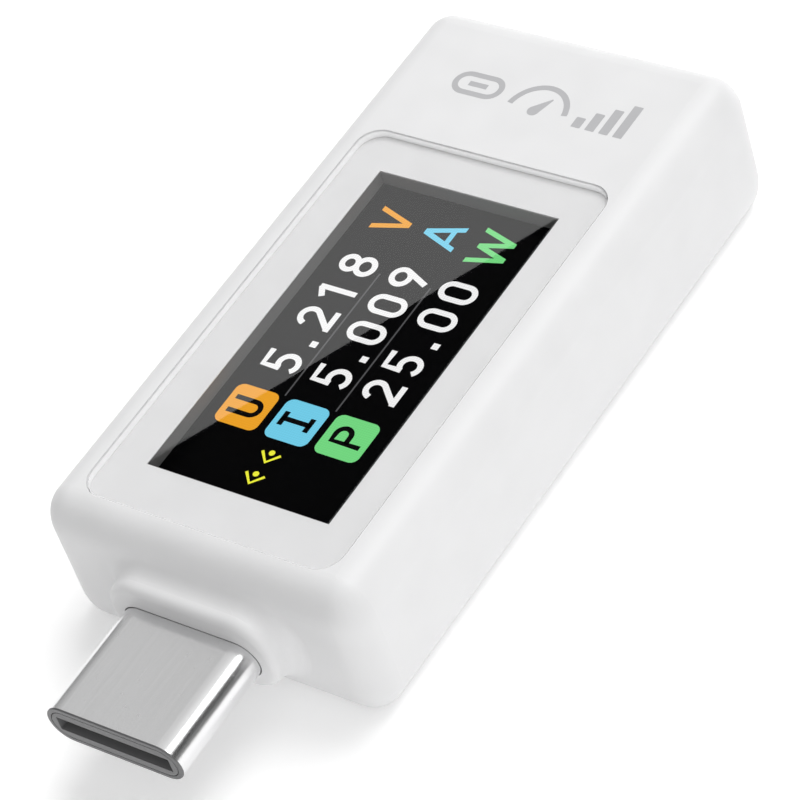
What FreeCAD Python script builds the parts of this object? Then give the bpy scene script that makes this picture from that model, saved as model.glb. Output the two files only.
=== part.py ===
"""An in-line USB-C power meter: a white two-piece case with a colour display under a
flush cover lens, a USB-C plug on a short neck at the front (-Y) and a USB-C socket in
the rear end (+Y). Millimetres, +Z up, origin below the middle of the overall length,
on the surface that the meter rests on. Each physical piece is written as its own
solid, or group of equal solids, to parts/NAME.step."""

import FreeCAD
import Part
import os
from math import atan2, degrees, hypot, pi, tan

Vector = FreeCAD.Vector
X_AXIS = Vector(1, 0, 0)
Y_AXIS = Vector(0, 1, 0)
Z_AXIS = Vector(0, 0, 1)

# ---- case ----
OVERALL_LENGTH = 47.0
PLUG_REACH = 6.75          # plug metal standing out of the neck
NECK_LENGTH = 1.45
CASE_WIDTH = 19.5
CASE_HEIGHT = 8.8
CORNER_RADIUS = 1.75       # seen from above
TOP_INSET = 1.75           # top edge: a quarter ellipse, this far in
TOP_DROP = 2.13            # and this far down
BOTTOM_INSET = 1.1         # bottom edge: a steeper quarter ellipse
BOTTOM_RISE = 2.0
WALL = 1.8
CEILING_Z = 7.5            # inner face of the case's top wall

PLUG_TIP_Y = -OVERALL_LENGTH / 2
NECK_FRONT_Y = PLUG_TIP_Y + PLUG_REACH
CASE_FRONT_Y = NECK_FRONT_Y + NECK_LENGTH
CASE_REAR_Y = OVERALL_LENGTH / 2
CASE_LENGTH = CASE_REAR_Y - CASE_FRONT_Y
CASE_MID_Y = (CASE_FRONT_Y + CASE_REAR_Y) / 2

NECK_WIDTH = 10.2
NECK_HEIGHT = 4.85
NECK_CORNER = 2.2
NECK_MID_Z = 4.17
NECK_EDGE = 0.5            # rounding of the neck's front edge
NECK_ROOT = 1.0            # hollow fillet where the neck leaves the case

CAVITY_WIDTH = CASE_WIDTH - 2 * WALL
CAVITY_LENGTH = CASE_LENGTH - 2 * WALL
CAVITY_CORNER = 0.9

# ---- cover lens and display window ----
LENS_WIDTH = 15.4
LENS_LENGTH = 27.0
LENS_CORNER = 1.3
LENS_MID_Y = -0.1
LENS_THICK = 0.45
INK_THICK = 0.05
TAPE_THICK = 0.1
LENS_GAP = 0.075           # dark joint line round the lens
WINDOW_WIDTH = 11.16
WINDOW_LENGTH = 21.74
WINDOW_MID_Y = 0.19
OPENING_WIDTH = 12.3       # hole in the case behind the window
OPENING_LENGTH = 22.9
GASKET_PLAY = 0.05
GASKET_HOLE_WIDTH = 11.22
GASKET_HOLE_LENGTH = 21.64

INK_BASE_Z = CASE_HEIGHT - LENS_THICK - INK_THICK
LEDGE_Z = INK_BASE_Z - TAPE_THICK

# ---- display module, from the front polarizer down ----
DISPLAY_TOP_Z = 7.45
POLARIZER_THICK = 0.12
GLASS_THICK = 0.3
FILM_THICK = 0.18
GUIDE_THICK = 0.4
REFLECTOR_THICK = 0.08
GLASS_WIDTH = 12.6
GLASS_FRONT_Y = -11.81
UPPER_GLASS_LENGTH = 24.0
LOWER_GLASS_LENGTH = 26.4
TRAY_WIDTH = 13.5
TRAY_FRONT_Y = -12.21
TRAY_REAR_Y = 15.24
TRAY_SIDE_WALL = 0.4
TRAY_REAR_WALL = 0.6
FLEX_WIDTH = 8.0
FLEX_THICK = 0.12
FLEX_BEND = 0.6

UPPER_GLASS_Z = DISPLAY_TOP_Z - POLARIZER_THICK - GLASS_THICK
LOWER_GLASS_Z = UPPER_GLASS_Z - GLASS_THICK
FILM_Z = LOWER_GLASS_Z - POLARIZER_THICK - FILM_THICK
GUIDE_Z = FILM_Z - GUIDE_THICK
TRAY_Z = GUIDE_Z - REFLECTOR_THICK

# ---- circuit board ----
BOARD_WIDTH = 15.2
BOARD_THICK = 0.8
BOARD_FRONT_Y = -12.0
BOARD_REAR_Y = 21.4
SOCKET_NOTCH_WIDTH = 9.2
SOCKET_NOTCH_Y = 15.4

# ---- USB-C plug ----
PLUG_Z = 3.95
PLUG_WIDTH = 8.25
PLUG_HEIGHT = 2.40
PLUG_WALL = 0.25
PLUG_SHELL_LENGTH = 10.1
TONGUE_SLOT_WIDTH = 6.9
TONGUE_SLOT_HEIGHT = 0.95
INSULATOR_PLAY = 0.045
INSULATOR_REAR_Y = -15.2
REAR_BLOCK_REAR_Y = -12.9
SLOT_END_Y = -17.0
CONTACT_COUNT = 12
CONTACT_PITCH = 0.5
CONTACT_WIDTH = 0.25
CONTACT_THICK = 0.12
CONTACT_BEND = 0.12
CONTACT_LEVEL = 0.62       # straight stretch, from the plug's middle plane
CONTACT_ROOT_Y = -16.2     # the beam springs about here
LATCH_ROOT_Y = -15.6
LATCH_LEVEL = 3.55
LATCH_THICK = 0.14
LATCH_HEIGHT = 0.5
SHIELD_SPRING_Y = -22.7

BOARD_TOP_Z = PLUG_Z + BOARD_THICK / 2
BOARD_BASE_Z = PLUG_Z - BOARD_THICK / 2

# ---- USB-C socket ----
SOCKET_Z = 4.4
SOCKET_WIDTH = 8.94
SOCKET_HEIGHT = 3.16
SOCKET_WALL = 0.3
SOCKET_FRONT_Y = 16.0
SOCKET_REAR_Y = CASE_REAR_Y - 0.15
SOCKET_BLOCK_REAR_Y = 17.3
TONGUE_WIDTH = 6.69
TONGUE_THICK = 0.70
TONGUE_TIP_Y = 22.85
SOCKET_OPENING_PLAY = 0.1

# ---- bottom cover ----
COVER_GAP = 0.1
COVER_THICK = 1.15
SNAP_Y = (-8.0, 4.1, 15.6)
SNAP_WIDTH = 2.6
POST_RADIUS = 0.8
POST_X = 6.2
POST_Y = (-9.2, 17.2)
RIB_THICK = 0.8


def box(x0, x1, y0, y1, z0, z1):
    """Block between two opposite corners."""
    return Part.makeBox(x1 - x0, y1 - y0, z1 - z0, Vector(x0, y0, z0))


def pair(shape):
    """The shape and its mirror image on the other side of the meter."""
    return Part.Compound([shape, shape.mirror(Vector(0, 0, 0), X_AXIS)])


def flipped(shape, level):
    """The shape's mirror image below the horizontal plane at the given level."""
    return shape.mirror(Vector(0, 0, level), Z_AXIS)


def rounded_face(width, height, radius):
    """Rectangle with round corners, centred on the origin in the XY plane."""
    half_width = width / 2 - radius
    half_height = height / 2 - radius
    corners = ((1, 1), (-1, 1), (-1, -1), (1, -1))
    arcs = []
    for quarter, (side_x, side_y) in enumerate(corners):
        centre = Vector(side_x * half_width, side_y * half_height, 0)
        arcs.append(Part.makeCircle(radius, centre, Z_AXIS, 90 * quarter, 90 * (quarter + 1)))
    edges = []
    for arc, following in zip(arcs, arcs[1:] + arcs[:1]):
        edges.append(arc)
        start = arc.valueAt(arc.LastParameter)
        end = following.valueAt(following.FirstParameter)
        if start.distanceToPoint(end) > 1e-6:
            edges.append(Part.makeLine(start, end))
    return Part.Face(Part.Wire(edges))


def slab(width, length, radius, z0, z1, mid_y=0.0):
    """Upright prism with round vertical corners."""
    face = rounded_face(width, length, radius)
    face.translate(Vector(0, mid_y, z0))
    return face.extrude(Vector(0, 0, z1 - z0))


def bar(width, height, radius, y0, y1, mid_z):
    """Prism along Y with round corners in its cross-section."""
    face = rounded_face(width, height, radius)
    face.rotate(Vector(0, 0, 0), X_AXIS, 90)
    face.translate(Vector(0, y0, mid_z))
    return face.extrude(Vector(0, y1 - y0, 0))


def bent_strip(points, bend, thickness, width):
    """Flat strip across X that follows (y, z) points, with a tangent arc at each bend."""
    vectors = [Vector(0, y, z) for y, z in points]
    edges = []
    start = vectors[0]
    for before, corner, after in zip(vectors, vectors[1:], vectors[2:]):
        into = (corner - before).normalize()
        out = (after - corner).normalize()
        turn = into.getAngle(out)
        reach = bend * tan(turn / 2)
        first = corner - into * reach
        last = corner + out * reach
        bisector = (out - into).normalize()
        middle = corner + bisector * (hypot(bend, reach) - bend)
        edges.append(Part.makeLine(start, first))
        edges.append(Part.Arc(first, middle, last).toShape())
        start = last
    edges.append(Part.makeLine(start, vectors[-1]))
    path = Part.Wire(edges)
    profile = Part.makePolygon([
        Vector(-width / 2, 0, -thickness / 2),
        Vector(width / 2, 0, -thickness / 2),
        Vector(width / 2, 0, thickness / 2),
        Vector(-width / 2, 0, thickness / 2),
        Vector(-width / 2, 0, -thickness / 2),
    ])
    lead = vectors[1] - vectors[0]
    profile.rotate(Vector(0, 0, 0), X_AXIS, degrees(atan2(lead.z, lead.y)))
    profile.translate(vectors[0])
    return path.makePipeShell([profile], True, False)


def row_of_contacts(strip):
    """Equal strips side by side at the connector's pitch."""
    first = -(CONTACT_COUNT - 1) / 2 * CONTACT_PITCH
    strips = []
    for number in range(CONTACT_COUNT):
        strips.append(strip.translated(Vector(first + number * CONTACT_PITCH, 0, 0)))
    return Part.Compound(strips)


# ---- case ----

def edge_profile():
    """Section of the case's side, from the corner's axis out to the wall."""
    wall = CORNER_RADIUS
    top_centre = Vector(wall - TOP_INSET, 0, CASE_HEIGHT - TOP_DROP)
    base_centre = Vector(wall - BOTTOM_INSET, 0, BOTTOM_RISE)
    crown = top_centre + Vector(0, 0, TOP_DROP)
    shoulder = top_centre + Vector(TOP_INSET, 0, 0)
    hip = base_centre + Vector(BOTTOM_INSET, 0, 0)
    heel = base_centre - Vector(0, 0, BOTTOM_RISE)
    edges = [
        Part.ArcOfEllipse(Part.Ellipse(crown, shoulder, top_centre), 0, pi / 2).toShape(),
        Part.makeLine(shoulder, hip),
        Part.ArcOfEllipse(Part.Ellipse(heel, hip, base_centre), 0, pi / 2).toShape(),
        Part.makeLine(heel, Vector(0, 0, 0)),
        Part.makeLine(Vector(0, 0, 0), Vector(0, 0, CASE_HEIGHT)),
    ]
    if crown.distanceToPoint(Vector(0, 0, CASE_HEIGHT)) > 1e-6:
        edges.append(Part.makeLine(Vector(0, 0, CASE_HEIGHT), crown))
    return Part.Face(Part.Wire(Part.sortEdges(edges)[0]))


def case_block():
    """Outer form of the case: a core, four side strips and four turned corners."""
    half_x = CASE_WIDTH / 2 - CORNER_RADIUS
    half_y = CASE_LENGTH / 2 - CORNER_RADIUS
    pieces = []
    for quarter in range(4):
        reach, run = (half_x, half_y) if quarter % 2 == 0 else (half_y, half_x)
        section = edge_profile()
        section.translate(Vector(reach, -run, 0))
        strip = section.extrude(Vector(0, 2 * run, 0))
        section.translate(Vector(0, 2 * run, 0))
        corner = section.revolve(Vector(reach, run, 0), Z_AXIS, 90)
        for piece in (strip, corner):
            piece.rotate(Vector(0, 0, 0), Z_AXIS, 90 * quarter)
            pieces.append(piece)
    core = box(-half_x, half_x, -half_y, half_y, 0, CASE_HEIGHT)
    block = core.multiFuse(pieces).removeSplitter()
    block.translate(Vector(0, CASE_MID_Y, 0))
    return block


def neck():
    """Boss round the plug, with a rounded front edge."""
    body = bar(NECK_WIDTH, NECK_HEIGHT, NECK_CORNER, NECK_FRONT_Y, CASE_FRONT_Y + WALL / 2, NECK_MID_Z)
    front = [edge for edge in body.Edges if edge.BoundBox.YMax < NECK_FRONT_Y + 1e-6]
    return body.makeFillet(NECK_EDGE, front)


def neck_root_edges(shape):
    """Edges where the neck meets the case's front face."""
    found = []
    for edge in shape.Edges:
        bounds = edge.BoundBox
        near_front = abs(bounds.YMin - CASE_FRONT_Y) < 0.1 and abs(bounds.YMax - CASE_FRONT_Y) < 0.1
        inside = bounds.XMax < NECK_WIDTH / 2 + 0.1 and bounds.XMin > -NECK_WIDTH / 2 - 0.1
        level = bounds.ZMin > NECK_MID_Z - NECK_HEIGHT / 2 - 0.1
        if near_front and inside and level and bounds.ZMax < NECK_MID_Z + NECK_HEIGHT / 2 + 0.1:
            found.append(edge)
    return found


def snap_pockets():
    """Recesses in the side walls that the cover's hooks catch in."""
    pockets = []
    for y in SNAP_Y:
        half = SNAP_WIDTH / 2 + 0.3
        pockets.append(pair(box(CAVITY_WIDTH / 2 - 0.2, 8.4, y - half, y + half, 2.3, 3.45)))
    return pockets


def case_ribs():
    """Ribs under the ceiling that stop the board and centre the display."""
    wall_x = CAVITY_WIDTH / 2 + 0.2
    ribs = []
    for y in POST_Y:
        half = RIB_THICK / 2
        ribs.append(pair(box(7.0, wall_x, y - half, y + half, BOARD_TOP_Z, CEILING_Z + 0.1)))
    for y in (-3.0, 10.0):
        half = RIB_THICK / 2
        ribs.append(pair(box(TRAY_WIDTH / 2 + 0.05, wall_x, y - half, y + half, 6.2, CEILING_Z + 0.1)))
    return ribs


def top_shell():
    """Case with its walls, neck, lens recess and both connector openings."""
    outer = case_block().fuse(neck()).removeSplitter()
    outer = outer.makeFillet(NECK_ROOT, neck_root_edges(outer))
    cavity = slab(CAVITY_WIDTH, CAVITY_LENGTH, CAVITY_CORNER, -1, CEILING_Z, CASE_MID_Y)
    recess = slab(
        LENS_WIDTH + 2 * LENS_GAP, LENS_LENGTH + 2 * LENS_GAP, LENS_CORNER + LENS_GAP,
        LEDGE_Z, CASE_HEIGHT + 1, LENS_MID_Y)
    opening = slab(OPENING_WIDTH, OPENING_LENGTH, 0.6, CEILING_Z - 1, CASE_HEIGHT, WINDOW_MID_Y)
    tunnel = bar(
        PLUG_WIDTH + 0.1, PLUG_HEIGHT + 0.1, PLUG_HEIGHT / 2 + 0.05,
        NECK_FRONT_Y - 1, CASE_FRONT_Y + WALL + 0.5, PLUG_Z)
    mouth_height = SOCKET_HEIGHT + 2 * SOCKET_OPENING_PLAY
    mouth = bar(
        SOCKET_WIDTH + 2 * SOCKET_OPENING_PLAY, mouth_height, mouth_height / 2,
        CASE_REAR_Y - WALL - 0.5, CASE_REAR_Y + 1, SOCKET_Z)
    hollow = outer.cut([cavity, recess, opening, tunnel, mouth])
    ribbed = hollow.fuse(case_ribs())
    return ribbed.cut(snap_pockets()).removeSplitter()


def snap_hook():
    """One spring hook of the cover, on the +X side, centred on Y = 0."""
    arm = box(7.05, 7.75, -SNAP_WIDTH / 2, SNAP_WIDTH / 2, COVER_THICK - 0.2, 3.3)
    outline = [
        Vector(7.7, -SNAP_WIDTH / 2, 2.5),
        Vector(8.25, -SNAP_WIDTH / 2, 2.5),
        Vector(8.25, -SNAP_WIDTH / 2, 2.65),
        Vector(7.7, -SNAP_WIDTH / 2, 3.3),
    ]
    barb = Part.Face(Part.makePolygon(outline + outline[:1])).extrude(Vector(0, SNAP_WIDTH, 0))
    return arm.fuse(barb)


def bottom_cover():
    """Inset floor plate with six snap hooks and four posts under the board."""
    plate = slab(
        CAVITY_WIDTH - 2 * COVER_GAP, CAVITY_LENGTH - 2 * COVER_GAP, CAVITY_CORNER - COVER_GAP,
        0, COVER_THICK, CASE_MID_Y)
    additions = []
    for y in SNAP_Y:
        additions.append(pair(snap_hook().translated(Vector(0, y, 0))))
    for y in POST_Y:
        foot = Vector(POST_X, y, COVER_THICK - 0.2)
        post = Part.makeCylinder(POST_RADIUS, BOARD_BASE_Z - COVER_THICK + 0.2, foot)
        additions.append(pair(post))
    return plate.multiFuse(additions).removeSplitter()


# ---- lens and window ----

def cover_lens():
    """Clear acrylic lens, flush with the case's top."""
    return slab(LENS_WIDTH, LENS_LENGTH, LENS_CORNER, CASE_HEIGHT - LENS_THICK, CASE_HEIGHT, LENS_MID_Y)


def window_block(width, length, z0, z1):
    """Sharp-cornered block centred on the display window."""
    return box(
        -width / 2, width / 2, WINDOW_MID_Y - length / 2, WINDOW_MID_Y + length / 2, z0, z1)


def lens_print():
    """White ink border on the lens's back, leaving the window clear."""
    ink = slab(
        LENS_WIDTH, LENS_LENGTH, LENS_CORNER, INK_BASE_Z, INK_BASE_Z + INK_THICK, LENS_MID_Y)
    return ink.cut(window_block(WINDOW_WIDTH, WINDOW_LENGTH, INK_BASE_Z - 1, CASE_HEIGHT))


def lens_tape():
    """Double-sided tape ring that holds the lens in its recess."""
    tape = slab(LENS_WIDTH - 0.1, LENS_LENGTH - 0.1, LENS_CORNER, LEDGE_Z, INK_BASE_Z, LENS_MID_Y)
    return tape.cut(slab(OPENING_WIDTH, OPENING_LENGTH, 0.6, LEDGE_Z - 1, CASE_HEIGHT, WINDOW_MID_Y))


def display_gasket():
    """Foam frame between the display and the lens that keeps light and dust out."""
    foam = slab(
        OPENING_WIDTH - 2 * GASKET_PLAY, OPENING_LENGTH - 2 * GASKET_PLAY, 0.55,
        DISPLAY_TOP_Z, INK_BASE_Z, WINDOW_MID_Y)
    return foam.cut(window_block(GASKET_HOLE_WIDTH, GASKET_HOLE_LENGTH, DISPLAY_TOP_Z - 1, CASE_HEIGHT))


# ---- display module ----

def sheet(width, length, z0, thickness, front_y):
    """Flat layer of the display module."""
    return box(-width / 2, width / 2, front_y, front_y + length, z0, z0 + thickness)


def display_front_polarizer():
    """Dark film that the picture is seen through."""
    return sheet(
        OPENING_WIDTH, OPENING_LENGTH + 0.1, DISPLAY_TOP_Z - POLARIZER_THICK, POLARIZER_THICK,
        WINDOW_MID_Y - OPENING_LENGTH / 2 - 0.05)


def display_upper_glass():
    """Colour filter glass."""
    return sheet(GLASS_WIDTH, UPPER_GLASS_LENGTH, UPPER_GLASS_Z, GLASS_THICK, GLASS_FRONT_Y)


def display_lower_glass():
    """Transistor glass, longer than the upper one to carry the driver chip."""
    return sheet(GLASS_WIDTH, LOWER_GLASS_LENGTH, LOWER_GLASS_Z, GLASS_THICK, GLASS_FRONT_Y)


def display_rear_polarizer():
    """Film under the lower glass."""
    return sheet(12.3, 23.6, LOWER_GLASS_Z - POLARIZER_THICK, POLARIZER_THICK, GLASS_FRONT_Y + 0.1)


def display_films():
    """Diffuser and prism films over the light guide."""
    return sheet(12.3, 24.6, FILM_Z, FILM_THICK, GLASS_FRONT_Y + 0.1)


def display_light_guide():
    """Clear plate that spreads the lamps' light."""
    return sheet(12.3, 24.6, GUIDE_Z, GUIDE_THICK, GLASS_FRONT_Y + 0.1)


def display_lamps():
    """Three white LEDs that shine into the light guide's rear edge."""
    lamps = []
    for x in (-3.6, 0.0, 3.6):
        lamps.append(box(x - 1.1, x + 1.1, 13.0, 13.6, GUIDE_Z, GUIDE_Z + GUIDE_THICK))
    return Part.Compound(lamps)


def display_reflector():
    """White sheet behind the light guide."""
    return sheet(12.5, 26.2, TRAY_Z, REFLECTOR_THICK, GLASS_FRONT_Y + 0.05)


def display_tray():
    """Moulded frame round the display's layers."""
    outer = box(-TRAY_WIDTH / 2, TRAY_WIDTH / 2, TRAY_FRONT_Y, TRAY_REAR_Y, TRAY_Z, UPPER_GLASS_Z - 0.03)
    inner_x = TRAY_WIDTH / 2 - TRAY_SIDE_WALL
    inner_front = TRAY_FRONT_Y + TRAY_SIDE_WALL - 0.02
    inner_rear = TRAY_REAR_Y - TRAY_REAR_WALL
    return outer.cut(box(-inner_x, inner_x, inner_front, inner_rear, TRAY_Z - 1, CASE_HEIGHT))


def display_driver_chip():
    """Bare chip bonded to the ledge of the lower glass."""
    return box(-4.8, 4.8, 12.5, 13.3, UPPER_GLASS_Z, UPPER_GLASS_Z + 0.25)


def display_flex():
    """Flexible circuit from the glass ledge, folded under the display to the board."""
    top = UPPER_GLASS_Z + FLEX_THICK / 2
    under = TRAY_Z - 0.12
    board = BOARD_TOP_Z + FLEX_THICK / 2
    fold_y = TRAY_REAR_Y + FLEX_BEND
    route = [(13.7, top), (fold_y, top), (fold_y, under), (10.4, under), (10.4, board), (6.5, board)]
    return bent_strip(route, FLEX_BEND, FLEX_THICK, FLEX_WIDTH)


# ---- USB-C plug ----

def plug_shell():
    """Drawn steel tube with two ears that are soldered into the board."""
    rear = PLUG_TIP_Y + PLUG_SHELL_LENGTH
    outer = bar(PLUG_WIDTH, PLUG_HEIGHT, PLUG_HEIGHT / 2, PLUG_TIP_Y, rear, PLUG_Z)
    rim = [edge for edge in outer.Edges if edge.BoundBox.YMax < PLUG_TIP_Y + 1e-6]
    outer = outer.makeFillet(0.06, rim)
    inner_width = PLUG_WIDTH - 2 * PLUG_WALL
    inner_height = PLUG_HEIGHT - 2 * PLUG_WALL
    bore = bar(inner_width, inner_height, inner_height / 2, PLUG_TIP_Y - 1, rear + 1, PLUG_Z)
    ear = box(inner_width / 2, 4.05, rear - 0.5, -10.95, PLUG_Z - 0.38, PLUG_Z + 0.38)
    return outer.cut(bore).fuse([pair(ear)]).removeSplitter()


def plug_beam():
    """Spring end of one upper contact, on the plug's middle plane X = 0."""
    route = [
        (CONTACT_ROOT_Y, PLUG_Z + CONTACT_LEVEL),
        (-19.3, PLUG_Z + CONTACT_LEVEL),
        (-20.3, PLUG_Z + 0.34),
        (-20.9, PLUG_Z + 0.50),
    ]
    return bent_strip(route, CONTACT_BEND, CONTACT_THICK, CONTACT_WIDTH)


def plug_tail():
    """Fixed end of one upper contact, from the beam's root to its pad on the board."""
    pad = BOARD_TOP_Z + CONTACT_THICK / 2
    route = [
        (CONTACT_ROOT_Y + 0.05, PLUG_Z + CONTACT_LEVEL),
        (-12.7, PLUG_Z + CONTACT_LEVEL),
        (-12.3, pad),
        (-11.2, pad),
    ]
    return bent_strip(route, CONTACT_BEND, CONTACT_THICK, CONTACT_WIDTH)


def plug_beams_upper():
    """Twelve spring beams over the tongue."""
    return row_of_contacts(plug_beam())


def plug_tails_upper():
    """Twelve tails on the board's top."""
    return row_of_contacts(plug_tail())


def plug_mid_plate():
    """Ground plate between the two rows of tails."""
    return box(-2.9, 2.9, -16.6, BOARD_FRONT_Y - 0.1, PLUG_Z - 0.1, PLUG_Z + 0.1)


def plug_latch():
    """Side spring on the +X side, whose hook holds the mating socket's tongue."""
    route = [
        (LATCH_ROOT_Y, LATCH_LEVEL),
        (-19.9, LATCH_LEVEL),
        (-20.7, LATCH_LEVEL - 0.34),
        (-21.3, LATCH_LEVEL - 0.06),
    ]
    spring = bent_strip(route, CONTACT_BEND, LATCH_THICK, LATCH_HEIGHT)
    spring.rotate(Vector(0, 0, 0), Y_AXIS, 90)
    spring.translate(Vector(0, 0, PLUG_Z))
    return spring


def shield_spring():
    """Stamped ground spring over the mouth: a front bar with four fingers."""
    level = PLUG_Z + 0.87
    spring = box(-3.0, 3.0, SHIELD_SPRING_Y - 0.2, SHIELD_SPRING_Y + 0.2, level - 0.04, level + 0.04)
    route = [
        (SHIELD_SPRING_Y, level),
        (SHIELD_SPRING_Y + 0.3, level),
        (SHIELD_SPRING_Y + 0.8, PLUG_Z + 0.40),
        (SHIELD_SPRING_Y + 1.1, PLUG_Z + 0.52),
    ]
    finger = bent_strip(route, 0.1, 0.08, 0.7)
    fingers = [finger.translated(Vector(x, 0, 0)) for x in (-2.4, -0.8, 0.8, 2.4)]
    return spring.fuse(fingers).removeSplitter()


def contact_grooves(y0, y1, low, high):
    """Twelve slots over the tongue space, a little wider than a contact."""
    half = CONTACT_WIDTH / 2 + 0.045
    groove = box(-half, half, y0, y1, PLUG_Z + low, PLUG_Z + high)
    return row_of_contacts(groove)


def plug_insulator():
    """Moulded front housing with the tongue slot, contact grooves and spring windows."""
    width = PLUG_WIDTH - 2 * PLUG_WALL - 2 * INSULATOR_PLAY
    height = PLUG_HEIGHT - 2 * PLUG_WALL - 2 * INSULATOR_PLAY
    body = bar(width, height, height / 2, PLUG_TIP_Y, INSULATOR_REAR_Y, PLUG_Z)
    half_slot = TONGUE_SLOT_WIDTH / 2
    low = PLUG_Z - TONGUE_SLOT_HEIGHT / 2
    high = PLUG_Z + TONGUE_SLOT_HEIGHT / 2
    slot = box(-half_slot, half_slot, PLUG_TIP_Y - 1, SLOT_END_Y, low, high)
    grooves = contact_grooves(-21.2, INSULATOR_REAR_Y + 1, TONGUE_SLOT_HEIGHT / 2 - 0.1, 0.80)
    latch_window = pair(box(3.1, 4.5, -21.8, INSULATOR_REAR_Y + 1, PLUG_Z - 0.3, PLUG_Z + 0.3))
    bar_recess = box(
        -3.1, 3.1, SHIELD_SPRING_Y - 0.3, SHIELD_SPRING_Y + 0.35, PLUG_Z + 0.78, PLUG_Z + 1.5)
    fingers = []
    for x in (-2.4, -0.8, 0.8, 2.4):
        fingers.append(box(
            x - 0.45, x + 0.45, SHIELD_SPRING_Y - 0.1, SHIELD_SPRING_Y + 1.3,
            PLUG_Z + 0.3, PLUG_Z + 1.5))
    plate_slot = plug_mid_plate()
    upper = [grooves, bar_recess] + fingers
    lower = [flipped(tool, PLUG_Z) for tool in upper]
    return body.cut([slot, latch_window, plate_slot] + upper + lower)


def plug_rear_block():
    """Moulded block behind the housing, round the tails and the ground plate."""
    width = PLUG_WIDTH - 2 * PLUG_WALL - 2 * INSULATOR_PLAY
    height = PLUG_HEIGHT - 2 * PLUG_WALL - 2 * INSULATOR_PLAY
    body = bar(width, height, height / 2, INSULATOR_REAR_Y, REAR_BLOCK_REAR_Y, PLUG_Z)
    ear_room = pair(box(3.7, 4.5, -13.95, REAR_BLOCK_REAR_Y + 1, PLUG_Z - 0.42, PLUG_Z + 0.42))
    latch_root = pair(box(3.1, 4.5, INSULATOR_REAR_Y - 1, -15.0, PLUG_Z - 0.3, PLUG_Z + 0.3))
    tails = plug_tails_upper()
    return body.cut([tails, flipped(tails, PLUG_Z), plug_mid_plate(), ear_room, latch_root])


# ---- USB-C socket ----

def socket_shell():
    """Steel sleeve in the rear end, with two feet on the board."""
    outer = bar(
        SOCKET_WIDTH, SOCKET_HEIGHT, SOCKET_HEIGHT / 2, SOCKET_FRONT_Y, SOCKET_REAR_Y, SOCKET_Z)
    width = SOCKET_WIDTH - 2 * SOCKET_WALL
    height = SOCKET_HEIGHT - 2 * SOCKET_WALL
    bore = bar(width, height, height / 2, SOCKET_FRONT_Y - 1, SOCKET_REAR_Y + 1, SOCKET_Z)
    feet = []
    for y in (17.4, 19.6):
        feet.append(pair(box(4.2, 5.8, y, y + 1.0, BOARD_TOP_Z, BOARD_TOP_Z + SOCKET_WALL)))
    return outer.fuse(feet).cut(bore).removeSplitter()


def socket_contact(side):
    """One socket contact: side 1 for the upper row, -1 for the lower."""
    level = SOCKET_Z + side * (TONGUE_THICK - CONTACT_THICK) / 2
    half = CONTACT_THICK / 2
    pad = BOARD_TOP_Z + half if side > 0 else BOARD_BASE_Z - half
    route = [(22.2, level), (15.8, level), (15.55, pad), (14.6, pad)]
    return bent_strip(route, CONTACT_BEND, CONTACT_THICK, CONTACT_WIDTH)


def socket_contacts_upper():
    """Twelve contacts on the tongue's top."""
    return row_of_contacts(socket_contact(1))


def socket_contacts_lower():
    """Twelve contacts on the tongue's underside."""
    return row_of_contacts(socket_contact(-1))


def tongue_notches():
    """Side notches that a plug's latches hook into."""
    return pair(box(3.05, 3.6, 19.9, 20.9, SOCKET_Z - 1, SOCKET_Z + 1))


def socket_mid_plate():
    """Ground plate moulded into the tongue."""
    plate = box(-3.2, 3.2, 16.3, 22.5, SOCKET_Z - 0.05, SOCKET_Z + 0.05)
    return plate.cut(pair(box(2.95, 3.6, 19.8, 21.0, SOCKET_Z - 1, SOCKET_Z + 1)))


def socket_insulator():
    """Moulded tongue, its thicker root and the block that closes the sleeve's inner end."""
    width = SOCKET_WIDTH - 2 * SOCKET_WALL - 0.1
    height = SOCKET_HEIGHT - 2 * SOCKET_WALL - 0.1
    block = bar(width, height, height / 2, SOCKET_FRONT_Y, SOCKET_BLOCK_REAR_Y, SOCKET_Z)
    half_width = TONGUE_WIDTH / 2
    half_thick = TONGUE_THICK / 2
    tongue = box(
        -half_width, half_width, SOCKET_BLOCK_REAR_Y - 0.2, TONGUE_TIP_Y,
        SOCKET_Z - half_thick, SOCKET_Z + half_thick)
    tip = [edge for edge in tongue.Edges if edge.BoundBox.YMin > TONGUE_TIP_Y - 1e-6]
    tongue = tongue.makeChamfer(0.15, tip)
    root = box(
        -half_width, half_width, SOCKET_BLOCK_REAR_Y - 0.2, SOCKET_BLOCK_REAR_Y + 1.3,
        SOCKET_Z - 0.6, SOCKET_Z + 0.6)
    body = block.fuse([tongue, root])
    tools = [socket_contacts_upper(), socket_contacts_lower(), socket_mid_plate(), tongue_notches()]
    return body.cut(tools).removeSplitter()


# ---- board and its parts ----

def main_board():
    """Circuit board with a notch for the socket and slots for the plug's ears."""
    plate = slab(
        BOARD_WIDTH, BOARD_REAR_Y - BOARD_FRONT_Y, 0.5, BOARD_BASE_Z, BOARD_TOP_Z,
        (BOARD_FRONT_Y + BOARD_REAR_Y) / 2)
    half_notch = SOCKET_NOTCH_WIDTH / 2
    notch = box(-half_notch, half_notch, SOCKET_NOTCH_Y, BOARD_REAR_Y + 1, 0, CASE_HEIGHT)
    slots = pair(box(3.8, 4.15, BOARD_FRONT_Y - 1, -10.9, 0, CASE_HEIGHT))
    return plate.cut([notch, slots])


def chip(x, y, width, length, height, upper=True):
    """Package lying on the board, centred on x, y."""
    z0 = BOARD_TOP_Z if upper else BOARD_BASE_Z - height
    return box(x - width / 2, x + width / 2, y - length / 2, y + length / 2, z0, z0 + height)


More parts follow.
